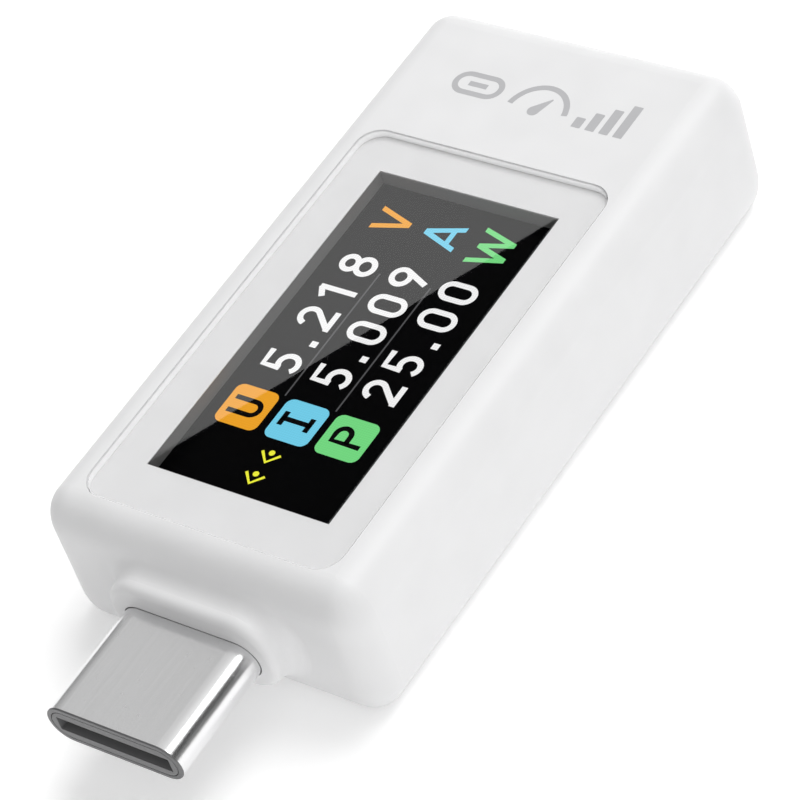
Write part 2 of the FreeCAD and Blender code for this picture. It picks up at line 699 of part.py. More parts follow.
def microcontroller():
    """Flat square package under the display."""
    body = chip(0, -3.5, 4.0, 4.0, 0.85)
    top = [edge for edge in body.Edges if edge.BoundBox.ZMin > BOARD_TOP_Z + 0.8]
    return body.makeChamfer(0.08, top)


def gull_wing(x, y, outward):
    """One formed lead of a small package, pointing along X."""
    foot = chip(x + outward * 0.35, y, 0.5, 0.4, 0.12)
    riser = box(
        min(x, x + outward * 0.12), max(x, x + outward * 0.12), y - 0.2, y + 0.2,
        BOARD_TOP_Z, BOARD_TOP_Z + 0.62)
    return foot.fuse(riser).removeSplitter()


def small_package(x, y):
    """Moulded body of a five or six lead package, standing clear of the board."""
    body = box(x - 0.8, x + 0.8, y - 1.45, y + 1.45, BOARD_TOP_Z + 0.1, BOARD_TOP_Z + 1.15)
    top = [edge for edge in body.Edges if edge.BoundBox.ZMin > BOARD_TOP_Z + 1.1]
    return body.makeChamfer(0.12, top)


def leads_of(x, y, rows):
    """Formed leads on both sides of a small package."""
    leads = []
    for side, places in zip((-1, 1), rows):
        for place in places:
            leads.append(gull_wing(x + side * 0.8, y + place, side))
    return leads


def sense_amplifier():
    """Package that reads the voltage across the shunt."""
    return small_package(-4.6, -7.4)


def sense_amplifier_leads():
    """Its six leads."""
    return Part.Compound(leads_of(-4.6, -7.4, ((-0.95, 0.0, 0.95), (-0.95, 0.0, 0.95))))


def voltage_regulator():
    """Package that feeds the display and the microcontroller."""
    return small_package(4.6, -7.4)


def voltage_regulator_leads():
    """Its five leads."""
    return Part.Compound(leads_of(4.6, -7.4, ((-0.95, 0.0, 0.95), (-0.95, 0.95))))


def current_shunt():
    """Metal strip resistor in the power path, on the board's underside."""
    strip = chip(0, -6.0, 6.4, 3.2, 0.6, upper=False)
    relief = box(-2.1, 2.1, -8.0, -4.0, BOARD_BASE_Z - 0.15, BOARD_BASE_Z)
    return strip.cut(relief)


def surge_diode():
    """Moulded diode across the supply, on the board's underside."""
    body = chip(0, 3.6, 4.3, 2.6, 1.9, upper=False)
    base = [edge for edge in body.Edges if edge.BoundBox.ZMax < BOARD_BASE_Z - 1.8]
    return body.makeChamfer(0.3, base)


def surge_diode_tabs():
    """Tinned tabs at both ends of the surge diode."""
    tab = box(2.15, 2.65, 2.9, 4.3, BOARD_BASE_Z - 1.0, BOARD_BASE_Z)
    return pair(tab)


def capacitors():
    """Ceramic capacitors, 0603 size."""
    places = ((-2.2, 1.6), (0.0, 1.6), (2.2, 1.6), (-6.2, 2.0), (6.2, 2.0), (-6.2, -11.0), (6.2, -11.0))
    return Part.Compound([chip(x, y, 0.8, 1.6, 0.8) for x, y in places])


def resistors():
    """Thick-film resistors, 0402 size."""
    places = []
    for x in (-5.6, -4.4, 4.4, 5.6):
        for y in (-3.0, -0.6, 12.6):
            places.append((x, y))
    return Part.Compound([chip(x, y, 0.5, 1.0, 0.35) for x, y in places])


def id_resistors():
    """Pair of pull-down resistors for the plug's configuration channels."""
    return Part.Compound([chip(x, -9.8, 0.5, 1.0, 0.35, upper=False) for x in (-1.2, 1.2)])


NODES = {
    "top_shell": top_shell,
    "bottom_cover": bottom_cover,
    "cover_lens": cover_lens,
    "lens_print": lens_print,
    "lens_tape": lens_tape,
    "display_gasket": display_gasket,
    "display_front_polarizer": display_front_polarizer,
    "display_upper_glass": display_upper_glass,
    "display_lower_glass": display_lower_glass,
    "display_rear_polarizer": display_rear_polarizer,
    "display_films": display_films,
    "display_light_guide": display_light_guide,
    "display_lamps": display_lamps,
    "display_reflector": display_reflector,
    "display_tray": display_tray,
    "display_driver_chip": display_driver_chip,
    "display_flex": display_flex,
    "plug_shell": plug_shell,
    "plug_insulator": plug_insulator,
    "plug_rear_block": plug_rear_block,
    "plug_beams_upper": plug_beams_upper,
    "plug_beams_lower": lambda: flipped(plug_beams_upper(), PLUG_Z),
    "plug_tails_upper": plug_tails_upper,
    "plug_tails_lower": lambda: flipped(plug_tails_upper(), PLUG_Z),
    "plug_mid_plate": plug_mid_plate,
    "plug_latch_right": plug_latch,
    "plug_latch_left": lambda: plug_latch().mirror(Vector(0, 0, 0), X_AXIS),
    "shield_spring_upper": shield_spring,
    "shield_spring_lower": lambda: flipped(shield_spring(), PLUG_Z),
    "socket_shell": socket_shell,
    "socket_insulator": socket_insulator,
    "socket_mid_plate": socket_mid_plate,
    "socket_contacts_upper": socket_contacts_upper,
    "socket_contacts_lower": socket_contacts_lower,
    "main_board": main_board,
    "microcontroller": microcontroller,
    "sense_amplifier": sense_amplifier,
    "sense_amplifier_leads": sense_amplifier_leads,
    "voltage_regulator": voltage_regulator,
    "voltage_regulator_leads": voltage_regulator_leads,
    "current_shunt": current_shunt,
    "surge_diode": surge_diode,
    "surge_diode_tabs": surge_diode_tabs,
    "capacitors": capacitors,
    "resistors": resistors,
    "id_resistors": id_resistors,
}

os.makedirs("parts", exist_ok=True)
for name, make in NODES.items():
    shape = make()
    print(f"{name}: {len(shape.Solids)} solids, {shape.Volume:.3f} mm3, valid {shape.isValid()}")
    shape.exportStep(f"parts/{name}.step")
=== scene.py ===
"""Looks of an in-line USB-C power meter, built round its fixed mechanical frame.

The frame holds every moulded, stamped and drawn part. This file gives each of them its
finish, adds what is printed or lit (the screen's picture and the pictogram on the case)
and sets up a small studio. Lengths in the classes are millimetres unless a name says
otherwise; everything that reaches Blender is in metres.
"""

import logging
import math
from abc import ABC, abstractmethod
from dataclasses import dataclass, field
from enum import Enum

import bmesh
import bpy
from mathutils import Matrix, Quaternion, Vector


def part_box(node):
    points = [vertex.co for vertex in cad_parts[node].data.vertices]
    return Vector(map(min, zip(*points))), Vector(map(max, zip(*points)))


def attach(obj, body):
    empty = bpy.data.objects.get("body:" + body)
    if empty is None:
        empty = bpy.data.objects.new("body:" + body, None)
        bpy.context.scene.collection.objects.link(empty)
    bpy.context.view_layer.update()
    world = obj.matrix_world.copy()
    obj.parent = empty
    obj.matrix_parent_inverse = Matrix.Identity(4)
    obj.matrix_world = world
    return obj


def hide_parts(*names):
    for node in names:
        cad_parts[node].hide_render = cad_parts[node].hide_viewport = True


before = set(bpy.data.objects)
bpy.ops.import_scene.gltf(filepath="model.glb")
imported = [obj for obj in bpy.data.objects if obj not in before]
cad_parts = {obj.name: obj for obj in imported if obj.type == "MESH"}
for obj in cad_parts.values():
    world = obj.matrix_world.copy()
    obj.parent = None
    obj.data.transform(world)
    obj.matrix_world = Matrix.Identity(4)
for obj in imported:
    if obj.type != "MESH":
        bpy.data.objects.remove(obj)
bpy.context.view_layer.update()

MM = 0.001
Rgb = tuple[float, float, float]
Point = tuple[float, float]
Feed = bpy.types.NodeSocket | float | tuple

log = logging.getLogger("power_meter")


def linear(red: int, green: int, blue: int) -> Rgb:
    """Turns display values from 0 to 255 into linear light."""
    shares = (red / 255, green / 255, blue / 255)
    return tuple(s / 12.92 if s <= 0.04045 else ((s + 0.055) / 1.055) ** 2.4 for s in shares)


# --------------------------------------------------------------------------- node helpers


class Graph:
    """Adds, links and sets nodes in one node tree."""

    def __init__(self, tree: bpy.types.NodeTree) -> None:
        """Keeps the tree."""
        self.tree = tree

    def add(
        self, kind: str, feeds: dict[str | int, Feed] | None = None, **settings: object
    ) -> bpy.types.Node:
        """Adds one node.

        Args:
            kind: Blender's type name of the node.
            feeds: What goes into its inputs, by name or place.
            **settings: Properties to set on it.

        Returns:
            The new node.
        """
        node = self.tree.nodes.new(kind)
        for name, value in settings.items():
            setattr(node, name, value)
        for name, value in (feeds or {}).items():
            self.feed(node.inputs[name], value)
        return node

    def feed(self, target: bpy.types.NodeSocket, value: Feed) -> None:
        """Links a socket into the target, or sets the target's own value.

        Args:
            target: Input socket.
            value: Output socket, number or tuple.
        """
        if isinstance(value, bpy.types.NodeSocket):
            self.tree.links.new(value, target)
        else:
            target.default_value = value

    def math(self, operation: str, *values: Feed, clamp: bool = False) -> bpy.types.NodeSocket:
        """Adds a Math node, whose result is kept from 0 to 1 if it is clamped."""
        feeds = dict(enumerate(values))
        return self.add("ShaderNodeMath", feeds, operation=operation, use_clamp=clamp).outputs[0]

    def vector_math(self, operation: str, *values: Feed) -> bpy.types.NodeOutputs:
        """Adds a Vector Math node, whose outputs are Vector and Value."""
        return self.add("ShaderNodeVectorMath", dict(enumerate(values)), operation=operation).outputs

    def axis(self, vector: Feed, name: str) -> bpy.types.NodeSocket:
        """Takes the X, Y or Z of a vector."""
        return self.add("ShaderNodeSeparateXYZ", {0: vector}).outputs[name]

    def combine(self, **axes: Feed) -> bpy.types.NodeSocket:
        """Builds a vector from its X, Y and Z, each 0 unless given."""
        return self.add("ShaderNodeCombineXYZ", axes).outputs[0]

    def spread(
        self, value: Feed, low: float, high: float, to_low: float, to_high: float
    ) -> bpy.types.NodeSocket:
        """Maps values from low to high onto to_low to to_high, and no further."""
        feeds = dict(enumerate((value, low, high, to_low, to_high)))
        return self.add("ShaderNodeMapRange", feeds).outputs[0]

    def tint(self, share: Feed, low: Feed, high: Feed) -> bpy.types.NodeSocket:
        """Mixes two colours: a share of 0 gives the first and 1 the second."""
        start, end = (c if isinstance(c, bpy.types.NodeSocket) else (*c, 1.0) for c in (low, high))
        return self.add("ShaderNodeMix", {0: share, 6: start, 7: end}, data_type="RGBA").outputs[2]

    def blend(self, share: Feed, low: Feed, high: Feed) -> bpy.types.NodeSocket:
        """Mixes two numbers: a share of 0 gives the first and 1 the second."""
        return self.add("ShaderNodeMix", {0: share, 2: low, 3: high}, data_type="FLOAT").outputs[0]

    def place(self, scale: tuple[float, float, float] = (1.0, 1.0, 1.0)) -> bpy.types.NodeSocket:
        """Object coordinates in metres, each multiplied by its own factor."""
        here = self.add("ShaderNodeTexCoord").outputs["Object"]
        return self.add("ShaderNodeMapping", {"Vector": here, "Scale": scale}).outputs[0]

    def noise(self, place: Feed, scale: float, detail: float = 2.0) -> bpy.types.NodeSocket:
        """Adds a Noise texture with a scale in waves per metre."""
        feeds = {"Vector": place, "Scale": scale, "Detail": detail}
        return self.add("ShaderNodeTexNoise", feeds).outputs[0]

    def bump(self, height: Feed, strength: float, reach: float) -> bpy.types.NodeSocket:
        """Adds a Bump node whose height of 1 stands for its reach in metres."""
        feeds = {"Strength": strength, "Distance": reach, "Height": height}
        return self.add("ShaderNodeBump", feeds).outputs[0]

    def call(self, effect: "Effect", **inputs: Feed) -> bpy.types.NodeOutputs:
        """Places a shared effect, given its inputs by name, and returns its outputs."""
        return self.add("ShaderNodeGroup", inputs, node_tree=effect.group()).outputs


class Effect(Enum):
    """Shader effects that several finishes share, each a node group built once."""

    SKIN = "moulded_skin"
    GRAIN = "drawn_grain"
    EDGES = "edge_wear_and_glint"
    DUST = "fine_dust"
    PIXELS = "pixel_grid"

    def group(self) -> bpy.types.NodeTree:
        """Finds the effect's node group, and builds it on first use.

        Returns:
            The node group.
        """
        found = bpy.data.node_groups.get(self.value)
        if found:
            return found
        tree = bpy.data.node_groups.new(self.value, "ShaderNodeTree")
        build = {
            Effect.SKIN: self._skin,
            Effect.GRAIN: self._grain,
            Effect.EDGES: self._edges,
            Effect.DUST: self._dust,
            Effect.PIXELS: self._pixels,
        }[self]
        build(tree)
        return tree

    @staticmethod
    def _ends(
        tree: bpy.types.NodeTree, inputs: dict[str, float], outputs: tuple[str, ...]
    ) -> tuple[Graph, bpy.types.NodeOutputs, bpy.types.NodeInputs]:
        """Gives a group its sockets.

        Args:
            tree: The new group.
            inputs: Number inputs with their defaults.
            outputs: Names of the number outputs.

        Returns:
            A graph on the tree, the sockets it starts from and the ones it ends in.
        """
        for name, value in inputs.items():
            socket = tree.interface.new_socket(name, in_out="INPUT", socket_type="NodeSocketFloat")
            socket.default_value = value
        for name in outputs:
            tree.interface.new_socket(name, in_out="OUTPUT", socket_type="NodeSocketFloat")
        graph = Graph(tree)
        return graph, graph.add("NodeGroupInput").outputs, graph.add("NodeGroupOutput").inputs

    @classmethod
    def _skin(cls, tree: bpy.types.NodeTree) -> None:
        """Wires the slight waviness and fine texture of moulded plastic.

        Args:
            tree: The effect's new node group.
        """
        sizes = {"Fineness": 9000.0, "Waves": 350.0}
        graph, start, end = cls._ends(tree, sizes, ("Height", "Tone"))
        place = graph.place()
        fine = graph.noise(place, start["Fineness"], 3.0)
        waves = graph.noise(place, start["Waves"], 1.0)
        height = graph.math("MULTIPLY_ADD", waves, 0.6, graph.math("MULTIPLY", fine, 0.4))
        graph.feed(end["Height"], height)
        graph.feed(end["Tone"], graph.spread(waves, 0.3, 0.7, 0.0, 1.0))

    @classmethod
    def _grain(cls, tree: bpy.types.NodeTree) -> None:
        """Wires fine lines along Y, as drawing or brushing leaves on metal.

        Args:
            tree: The effect's new node group.
        """
        sizes = {"Fineness": 9000.0, "Stretch": 0.03}
        graph, start, end = cls._ends(tree, sizes, ("Height", "Tone"))
        stretch = graph.combine(X=1.0, Y=start["Stretch"], Z=1.0)
        along = graph.vector_math("MULTIPLY", graph.place(), stretch)["Vector"]
        lines = graph.noise(along, start["Fineness"], 3.0)
        graph.feed(end["Height"], lines)
        graph.feed(end["Tone"], graph.spread(lines, 0.35, 0.65, 0.0, 1.0))

    @classmethod
    def _edges(cls, tree: bpy.types.NodeTree) -> None:
        """Wires a mask of the outer edges, where handling polishes them and where the finishes paint a
        lighter highlight.

        Args:
            tree: The effect's new node group.
        """
        graph, start, end = cls._ends(tree, {"Radius": 0.0001, "Breakup": 4000.0}, ("Mask",))
        bevel = graph.add("ShaderNodeBevel", {"Radius": start["Radius"]}, samples=4)
        flat = graph.add("ShaderNodeNewGeometry").outputs["Normal"]
        turn = graph.vector_math("DOT_PRODUCT", bevel.outputs[0], flat)["Value"]
        edge = graph.spread(turn, 0.99, 0.8, 0.0, 1.0)
        broken = graph.spread(graph.noise(graph.place(), start["Breakup"]), 0.35, 0.6, 0.3, 1.0)
        graph.feed(end["Mask"], graph.math("MULTIPLY", edge, broken))

    @classmethod
    def _dust(cls, tree: bpy.types.NodeTree) -> None:
        """Wires a sparse mask of specks and faint handling marks.

        Args:
            tree: The effect's new node group.
        """
        graph, start, end = cls._ends(tree, {"Size": 2500.0, "Amount": 0.2}, ("Mask",))
        place = graph.place()
        specks = graph.spread(graph.noise(place, start["Size"], 0.0), 0.72, 0.78, 0.0, 1.0)
        marks = graph.spread(graph.noise(place, 140.0, 4.0), 0.45, 0.75, 0.0, 0.5)
        both = graph.math("ADD", specks, marks)
        graph.feed(end["Mask"], graph.math("MULTIPLY", both, start["Amount"], clamp=True))

    @classmethod
    def _pixels(cls, tree: bpy.types.NodeTree) -> None:
        """Wires the screen's grid of square dots: 1 on a dot and 0 between dots.

        Args:
            tree: The effect's new node group.
        """
        graph, start, end = cls._ends(tree, {"Pitch": 0.000135}, ("Dots",))
        place = graph.place()
        dots = []
        for axis in ("X", "Y"):
            cell = graph.math("FRACT", graph.math("DIVIDE", graph.axis(place, axis), start["Pitch"]))
            side = graph.math("ABSOLUTE", graph.math("SUBTRACT", cell, 0.5))
            dots.append(graph.spread(side, 0.38, 0.48, 1.0, 0.0))
        graph.feed(end["Dots"], graph.math("MULTIPLY", *dots))


# --------------------------------------------------------------------------- finishes


@dataclass(frozen=True)
class Finish(ABC):
    """A surface finish. Its material is built once and shared.

    Attributes:
        name: Name of the finish, which its material carries too.
        colour: Main colour in linear light.
    """

    name: str
    colour: Rgb

    def material(self) -> bpy.types.Material:
        """Finds the finish's material, and builds it on first use.

        Returns:
            The material.
        """
        title = f"{self.name}_finish"
        found = bpy.data.materials.get(title)
        if found:
            return found
        material = bpy.data.materials.new(title)
        material.use_nodes = True
        material.node_tree.nodes.clear()
        graph = Graph(material.node_tree)
        surface = self.surface(graph)
        graph.feed(graph.add("ShaderNodeOutputMaterial").inputs["Surface"], surface)
        return material

    def principled(self, graph: Graph, **plain: Feed) -> bpy.types.Node:
        """Adds a Principled shader with plain values."""
        feeds = {name.replace("_", " "): value for name, value in plain.items()}
        return graph.add("ShaderNodeBsdfPrincipled", {"Base Color": (*self.colour, 1.0), **feeds})

    def shades(self, *factors: float) -> list[Rgb]:
        """Multiplies the finish's colour by each factor, with no channel above 1."""
        return [tuple(min(1.0, channel * factor) for channel in self.colour) for factor in factors]

    @abstractmethod
    def surface(self, graph: Graph) -> bpy.types.NodeSocket:
        """Wires the finish."""


@dataclass(frozen=True)
class MouldedPlastic(Finish):
    """Opaque injection-moulded plastic.

    Attributes:
        roughness: Middle roughness.
        shade: Share of darkening in the slight colour variation.
        relief: Height of the surface's waviness in metres.
        gloss: How much it mirrors, 0.5 for common plastics.
    """

    roughness: float = 0.35
    shade: float = 0.03
    relief: float = 0.000002
    gloss: float = 0.5

    def surface(self, graph: Graph) -> bpy.types.NodeSocket:
        """Wires base colour, roughness and bump from the shared skin, edges and dust; the edges get a painted
        highlight in the colour and wear in the roughness.

        Args:
            graph: Graph on the material's own tree.

        Returns:
            The shader's socket.
        """
        skin = graph.call(Effect.SKIN)
        dust = graph.call(Effect.DUST, Amount=0.12)
        edges = graph.call(Effect.EDGES, Radius=0.00012)
        darker, glint_lighter = self.shades(1 - self.shade, 1.02)
        toned = graph.tint(skin["Tone"], darker, self.colour)
        shader = self.principled(graph, Specular_IOR_Level=self.gloss)
        # painted highlight: the edges are a little lighter in colour; their lower roughness below is wear
        graph.feed(shader.inputs["Base Color"], graph.tint(edges["Mask"], toned, glint_lighter))
        rough = graph.spread(skin["Tone"], 0.0, 1.0, self.roughness * 0.92, self.roughness * 1.08)
        rough = graph.math("MULTIPLY_ADD", dust["Mask"], 0.25, rough)
        rough = graph.math("MULTIPLY_ADD", edges["Mask"], -0.05, rough, clamp=True)
        graph.feed(shader.inputs["Roughness"], rough)
        graph.feed(shader.inputs["Normal"], graph.bump(skin["Height"], 0.6, self.relief))
        return shader.outputs[0]


@dataclass(frozen=True)
class SatinMetal(Finish):
    """Stamped or drawn metal with fine lines along its length.

    Attributes:
        roughness: Middle roughness.
        grain: Depth of the lines in metres.
        painted_end_shade: Colour painted on the front end as shade, so that no highlight shows there, or
            None.
        painted_end_shade_at: Where that painted shade finishes along Y, in metres.
    """

    roughness: float = 0.3
    grain: float = 0.0000006
    painted_end_shade: Rgb | None = None
    painted_end_shade_at: float = 0.0

    def surface(self, graph: Graph) -> bpy.types.NodeSocket:
        """Wires the metal's grain, a painted highlight on its edges and a painted shade at its front end.

        Args:
            graph: Graph on the material's own tree.

        Returns:
            The shader's socket.
        """
        grain = graph.call(Effect.GRAIN)
        edges = graph.call(Effect.EDGES, Radius=0.00005)
        dust = graph.call(Effect.DUST, Amount=0.15, Size=3000.0)
        darker, glint_brighter = self.shades(0.96, 1.12)
        colour = graph.tint(grain["Tone"], darker, self.colour)
        # painted highlight: the edges get a brighter colour, a glint painted in
        colour = graph.tint(edges["Mask"], colour, glint_brighter)
        shader = self.principled(graph, Metallic=1.0)
        rough = graph.spread(grain["Tone"], 0.0, 1.0, self.roughness * 0.85, self.roughness * 1.15)
        rough = graph.math("MULTIPLY_ADD", dust["Mask"], 0.3, rough, clamp=True)
        # painted shade: a darker band at the front end, colour standing in for the highlight that is kept off
        # it
        if self.painted_end_shade:
            along = graph.axis(graph.place(), "Y")
            end_shade_mask = graph.spread(along, self.painted_end_shade_at - 0.01 * MM, self.painted_end_shade_at, 1.0, 0.0)
            colour = graph.tint(end_shade_mask, colour, self.painted_end_shade)
            rough = graph.math("MULTIPLY_ADD", end_shade_mask, 0.3, rough, clamp=True)
        graph.feed(shader.inputs["Base Color"], colour)
        graph.feed(shader.inputs["Roughness"], rough)
        graph.feed(shader.inputs["Normal"], graph.bump(grain["Height"], 0.5, self.grain))
        return shader.outputs[0]


@dataclass(frozen=True)
class PrintedInk(Finish):
    """Screen-printed ink with a faint mesh pattern.

    Attributes:
        roughness: Middle roughness.
    """

    roughness: float = 0.5

    def surface(self, graph: Graph) -> bpy.types.NodeSocket:
        """Wires the mesh pattern into colour, roughness and bump.

        Args:
            graph: Graph on the material's own tree.

        Returns:
            The shader's socket.
        """
        mesh = graph.noise(graph.place(), 16000.0, 1.0)
        skin = graph.call(Effect.SKIN, Waves=500.0)
        (darker,) = self.shades(0.97)
        shader = self.principled(graph)
        graph.feed(shader.inputs["Base Color"], graph.tint(skin["Tone"], darker, self.colour))
        rough = graph.spread(mesh, 0.3, 0.7, self.roughness - 0.08, self.roughness + 0.08)
        graph.feed(shader.inputs["Roughness"], rough)
        graph.feed(shader.inputs["Normal"], graph.bump(mesh, 0.3, 0.000001))
        return shader.outputs[0]


@dataclass(frozen=True)
class ClearSheet(Finish):
    """Thin clear sheet, polished over a window and satin round it.

    Attributes:
        window: Lowest and highest corner of the polished area, in metres, or None.
        index: Refractive index that sets how much it mirrors.
        satin: Roughness outside the window.
        cut_edge: Colour of the sheet's sides.
        painted_edge_glow: Painted glow on the sheet's sides, a little emitted light that brightens them
            although they are no lamp.
    """

    window: tuple[Point, Point] | None = None
    index: float = 1.8
    satin: float = 0.4
    cut_edge: Rgb = (1.0, 1.0, 1.0)
    painted_edge_glow: float = 0.12

    def surface(self, graph: Graph) -> bpy.types.NodeSocket:
        """Wires a see-through pane: its faces mirror a little, its sides mirror what is inside it and carry a
        painted glow.

        Args:
            graph: Graph on the material's own tree.

        Returns:
            The shader's socket.
        """
        dust = graph.call(Effect.DUST, Amount=0.03)
        rough = graph.math("MULTIPLY_ADD", dust["Mask"], 0.2, 0.01)
        if self.window:
            rough = graph.math("MULTIPLY_ADD", self._outside(graph), self.satin, rough, clamp=True)
        geometry = graph.add("ShaderNodeNewGeometry").outputs
        upright = graph.math("ABSOLUTE", graph.axis(geometry["True Normal"], "Z"))
        side = graph.math("LESS_THAN", upright, 0.5)
        mirrored = graph.add("ShaderNodeFresnel", {"IOR": self.index}).outputs[0]
        outer = graph.math("SUBTRACT", 1.0, geometry["Backfacing"])
        face = graph.math("MULTIPLY", mirrored, outer)
        seen = graph.add("ShaderNodeLightPath").outputs["Is Camera Ray"]
        shader = self.principled(graph, Metallic=1.0, Emission_Color=(1.0, 1.0, 1.0, 1.0))
        wired = {
            "Base Color": graph.tint(side, self.colour, self.cut_edge),
            "Roughness": graph.math("MULTIPLY_ADD", side, 0.05, rough, clamp=True),
            # painted light: the sides emit a faint glow that lightens them, though they are no lamp
            "Emission Strength": graph.math("MULTIPLY", side, self.painted_edge_glow),
            "Alpha": graph.blend(side, face, seen),
        }
        for name, socket in wired.items():
            graph.feed(shader.inputs[name], socket)
        return shader.outputs[0]

    def _outside(self, graph: Graph) -> bpy.types.NodeSocket:
        """Wires a mask that is 0 over the window and 1 round it.

        Args:
            graph: Graph on the material's own tree.

        Returns:
            The mask's socket.
        """
        place = graph.place()
        shares = []
        for axis, low, high in zip(("X", "Y"), *self.window):
            off = graph.math("SUBTRACT", graph.axis(place, axis), (low + high) / 2)
            shares.append(graph.math("GREATER_THAN", graph.math("ABSOLUTE", off), (high - low) / 2))
        return graph.math("MAXIMUM", *shares)


@dataclass(frozen=True)
class LitPixels(Finish):
    """Lit part of the screen's picture, with a faint grid of dots.

    Attributes:
        strength: Brightness of the light.
    """

    strength: float = 1.0

    def surface(self, graph: Graph) -> bpy.types.NodeSocket:
        """Wires the light's colour through the dot grid.

        Args:
            graph: Graph on the material's own tree.

        Returns:
            The shader's socket.
        """
        dots = graph.call(Effect.PIXELS)["Dots"]
        between, unlit = self.shades(0.82, 0.05)
        shader = self.principled(
            graph, Roughness=0.5, Specular_IOR_Level=0.05, Emission_Strength=self.strength
        )
        graph.feed(shader.inputs["Base Color"], graph.tint(dots, (0.0, 0.0, 0.0), unlit))
        graph.feed(shader.inputs["Emission Color"], graph.tint(dots, between, self.colour))
        return shader.outputs[0]


@dataclass(frozen=True)
class Resist(Finish):
    """Circuit board: solder resist over copper tracks.

    Attributes:
        copper: Colour over a track.
    """

    copper: Rgb = (0.06, 0.34, 0.15)

    def surface(self, graph: Graph) -> bpy.types.NodeSocket:
        """Wires tracks, glass weave and gloss.

        Args:
            graph: Graph on the material's own tree.

        Returns:
            The shader's socket.
        """
        feeds = {"Vector": graph.place((1.0, 1.0, 0.01)), "Scale": 650.0}
        tracks = graph.add("ShaderNodeTexVoronoi", feeds, feature="DISTANCE_TO_EDGE", distance="MANHATTAN")
        line = graph.spread(tracks.outputs["Distance"], 0.06, 0.09, 1.0, 0.0)
        weave = graph.noise(graph.place(), 6000.0)
        shader = self.principled(graph)
        graph.feed(shader.inputs["Base Color"], graph.tint(line, self.colour, self.copper))
        graph.feed(shader.inputs["Roughness"], graph.spread(weave, 0.3, 0.7, 0.22, 0.34))
        graph.feed(shader.inputs["Normal"], graph.bump(line, 0.4, 0.00002))
        return shader.outputs[0]


CASE = MouldedPlastic("case_plastic", (0.8, 0.8, 0.805), roughness=0.44)
COVER = MouldedPlastic("cover_plastic", (0.78, 0.78, 0.785), roughness=0.4)
INK = PrintedInk("lens_ink", (0.77, 0.77, 0.775))
MARK_INK = PrintedInk("mark_ink", linear(184, 184, 186), roughness=0.4)
GASKET = MouldedPlastic("gasket_foam", (0.19, 0.19, 0.19), roughness=0.85, relief=0.00001, gloss=0.1)
TAPE = MouldedPlastic("tape_foam", (0.03, 0.03, 0.03), roughness=0.8)
SCREEN = MouldedPlastic("screen_film", (0.0012, 0.0012, 0.0015), roughness=0.35, relief=0.0000002, gloss=0.02)
PANE = ClearSheet("display_pane", (0.8, 0.85, 0.85))
MILKY = MouldedPlastic("milky_film", (0.8, 0.82, 0.84), roughness=0.5)
GUIDE = MouldedPlastic("light_guide", (0.78, 0.82, 0.85), roughness=0.15)
TRAY = MouldedPlastic("tray_plastic", (0.8, 0.8, 0.8), roughness=0.45)
LAMP = MouldedPlastic("lamp_resin", (0.85, 0.8, 0.45), roughness=0.4)
SILICON = SatinMetal("bare_chip", (0.15, 0.15, 0.17), roughness=0.2)
FLEX = Resist("flex_film", (0.45, 0.2, 0.04), copper=(0.6, 0.32, 0.1))
PLUG_STEEL = SatinMetal(
    "plug_steel",
    (0.84, 0.84, 0.845),
    roughness=0.2,
    grain=0.0000003,
    # painted shade: a darker colour on the shell's front end keeps a highlight off it
    painted_end_shade=linear(126, 126, 127),
    painted_end_shade_at=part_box("plug_shell")[0].y + 0.1 * MM,
)
SOCKET_STEEL = SatinMetal("socket_steel", (0.66, 0.66, 0.67), roughness=0.3)
SPRING_STEEL = SatinMetal("spring_steel", (0.5, 0.5, 0.51), roughness=0.35)
GOLD = SatinMetal("contact_gold", (0.83, 0.6, 0.25), roughness=0.22)
TIN = SatinMetal("tin_plate", (0.72, 0.72, 0.72), roughness=0.35)
SHUNT = SatinMetal("shunt_alloy", (0.42, 0.36, 0.31), roughness=0.4)
DARK_MOULDING = MouldedPlastic("plug_moulding", linear(118, 118, 119), roughness=0.5)
BLACK_MOULDING = MouldedPlastic("socket_moulding", (0.02, 0.02, 0.02), roughness=0.45)
EPOXY = MouldedPlastic("package_epoxy", (0.03, 0.03, 0.032), roughness=0.55, relief=0.000006)
CERAMIC = MouldedPlastic("capacitor_ceramic", (0.42, 0.3, 0.2), roughness=0.4)
GLAZE = MouldedPlastic("resistor_glaze", (0.04, 0.04, 0.05), roughness=0.25)
BOARD = Resist("board_resist", (0.02, 0.16, 0.065))
WHITE_LIGHT = LitPixels("lit_white", linear(250, 250, 250), 1.0)
ORANGE_LIGHT = LitPixels("lit_orange", linear(245, 168, 42), 1.0)
BLUE_LIGHT = LitPixels("lit_blue", linear(118, 212, 241), 1.0)
GREEN_LIGHT = LitPixels("lit_green", linear(120, 223, 134), 1.0)
YELLOW_LIGHT = LitPixels("lit_yellow", linear(248, 248, 64), 1.0)
GREY_LIGHT = LitPixels("lit_grey", linear(84, 84, 86), 1.0)
UNLIT = LitPixels("unlit_letter", linear(14, 14, 16), 0.2)


def dress(finish: Finish, *nodes: str) -> None:
    """Gives frame nodes a finish.

    Args:
        finish: The finish.
        *nodes: Names of the nodes.
    """
    for node in nodes:
        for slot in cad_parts[node].material_slots:
            slot.material = finish.material()
        log.info("dressed %s in %s", node, finish.name)


# --------------------------------------------------------------------------- drawn marks


def arc(centre: Point, radii: Point, start: float, end: float, steps: int = 16) -> list[Point]:
    """Points along an ellipse, both ends included, with angles in degrees anticlockwise from X."""
    turns = (math.radians(start + (end - start) * k / steps) for k in range(steps + 1))
    return [(centre[0] + radii[0] * math.cos(t), centre[1] + radii[1] * math.sin(t)) for t in turns]


@dataclass(frozen=True)
class Stroke:
    """Line of even width along a path.

    Attributes:
        points: The path.
        closed: Whether its end joins its start.
    """

    points: tuple[Point, ...]
    closed: bool = False


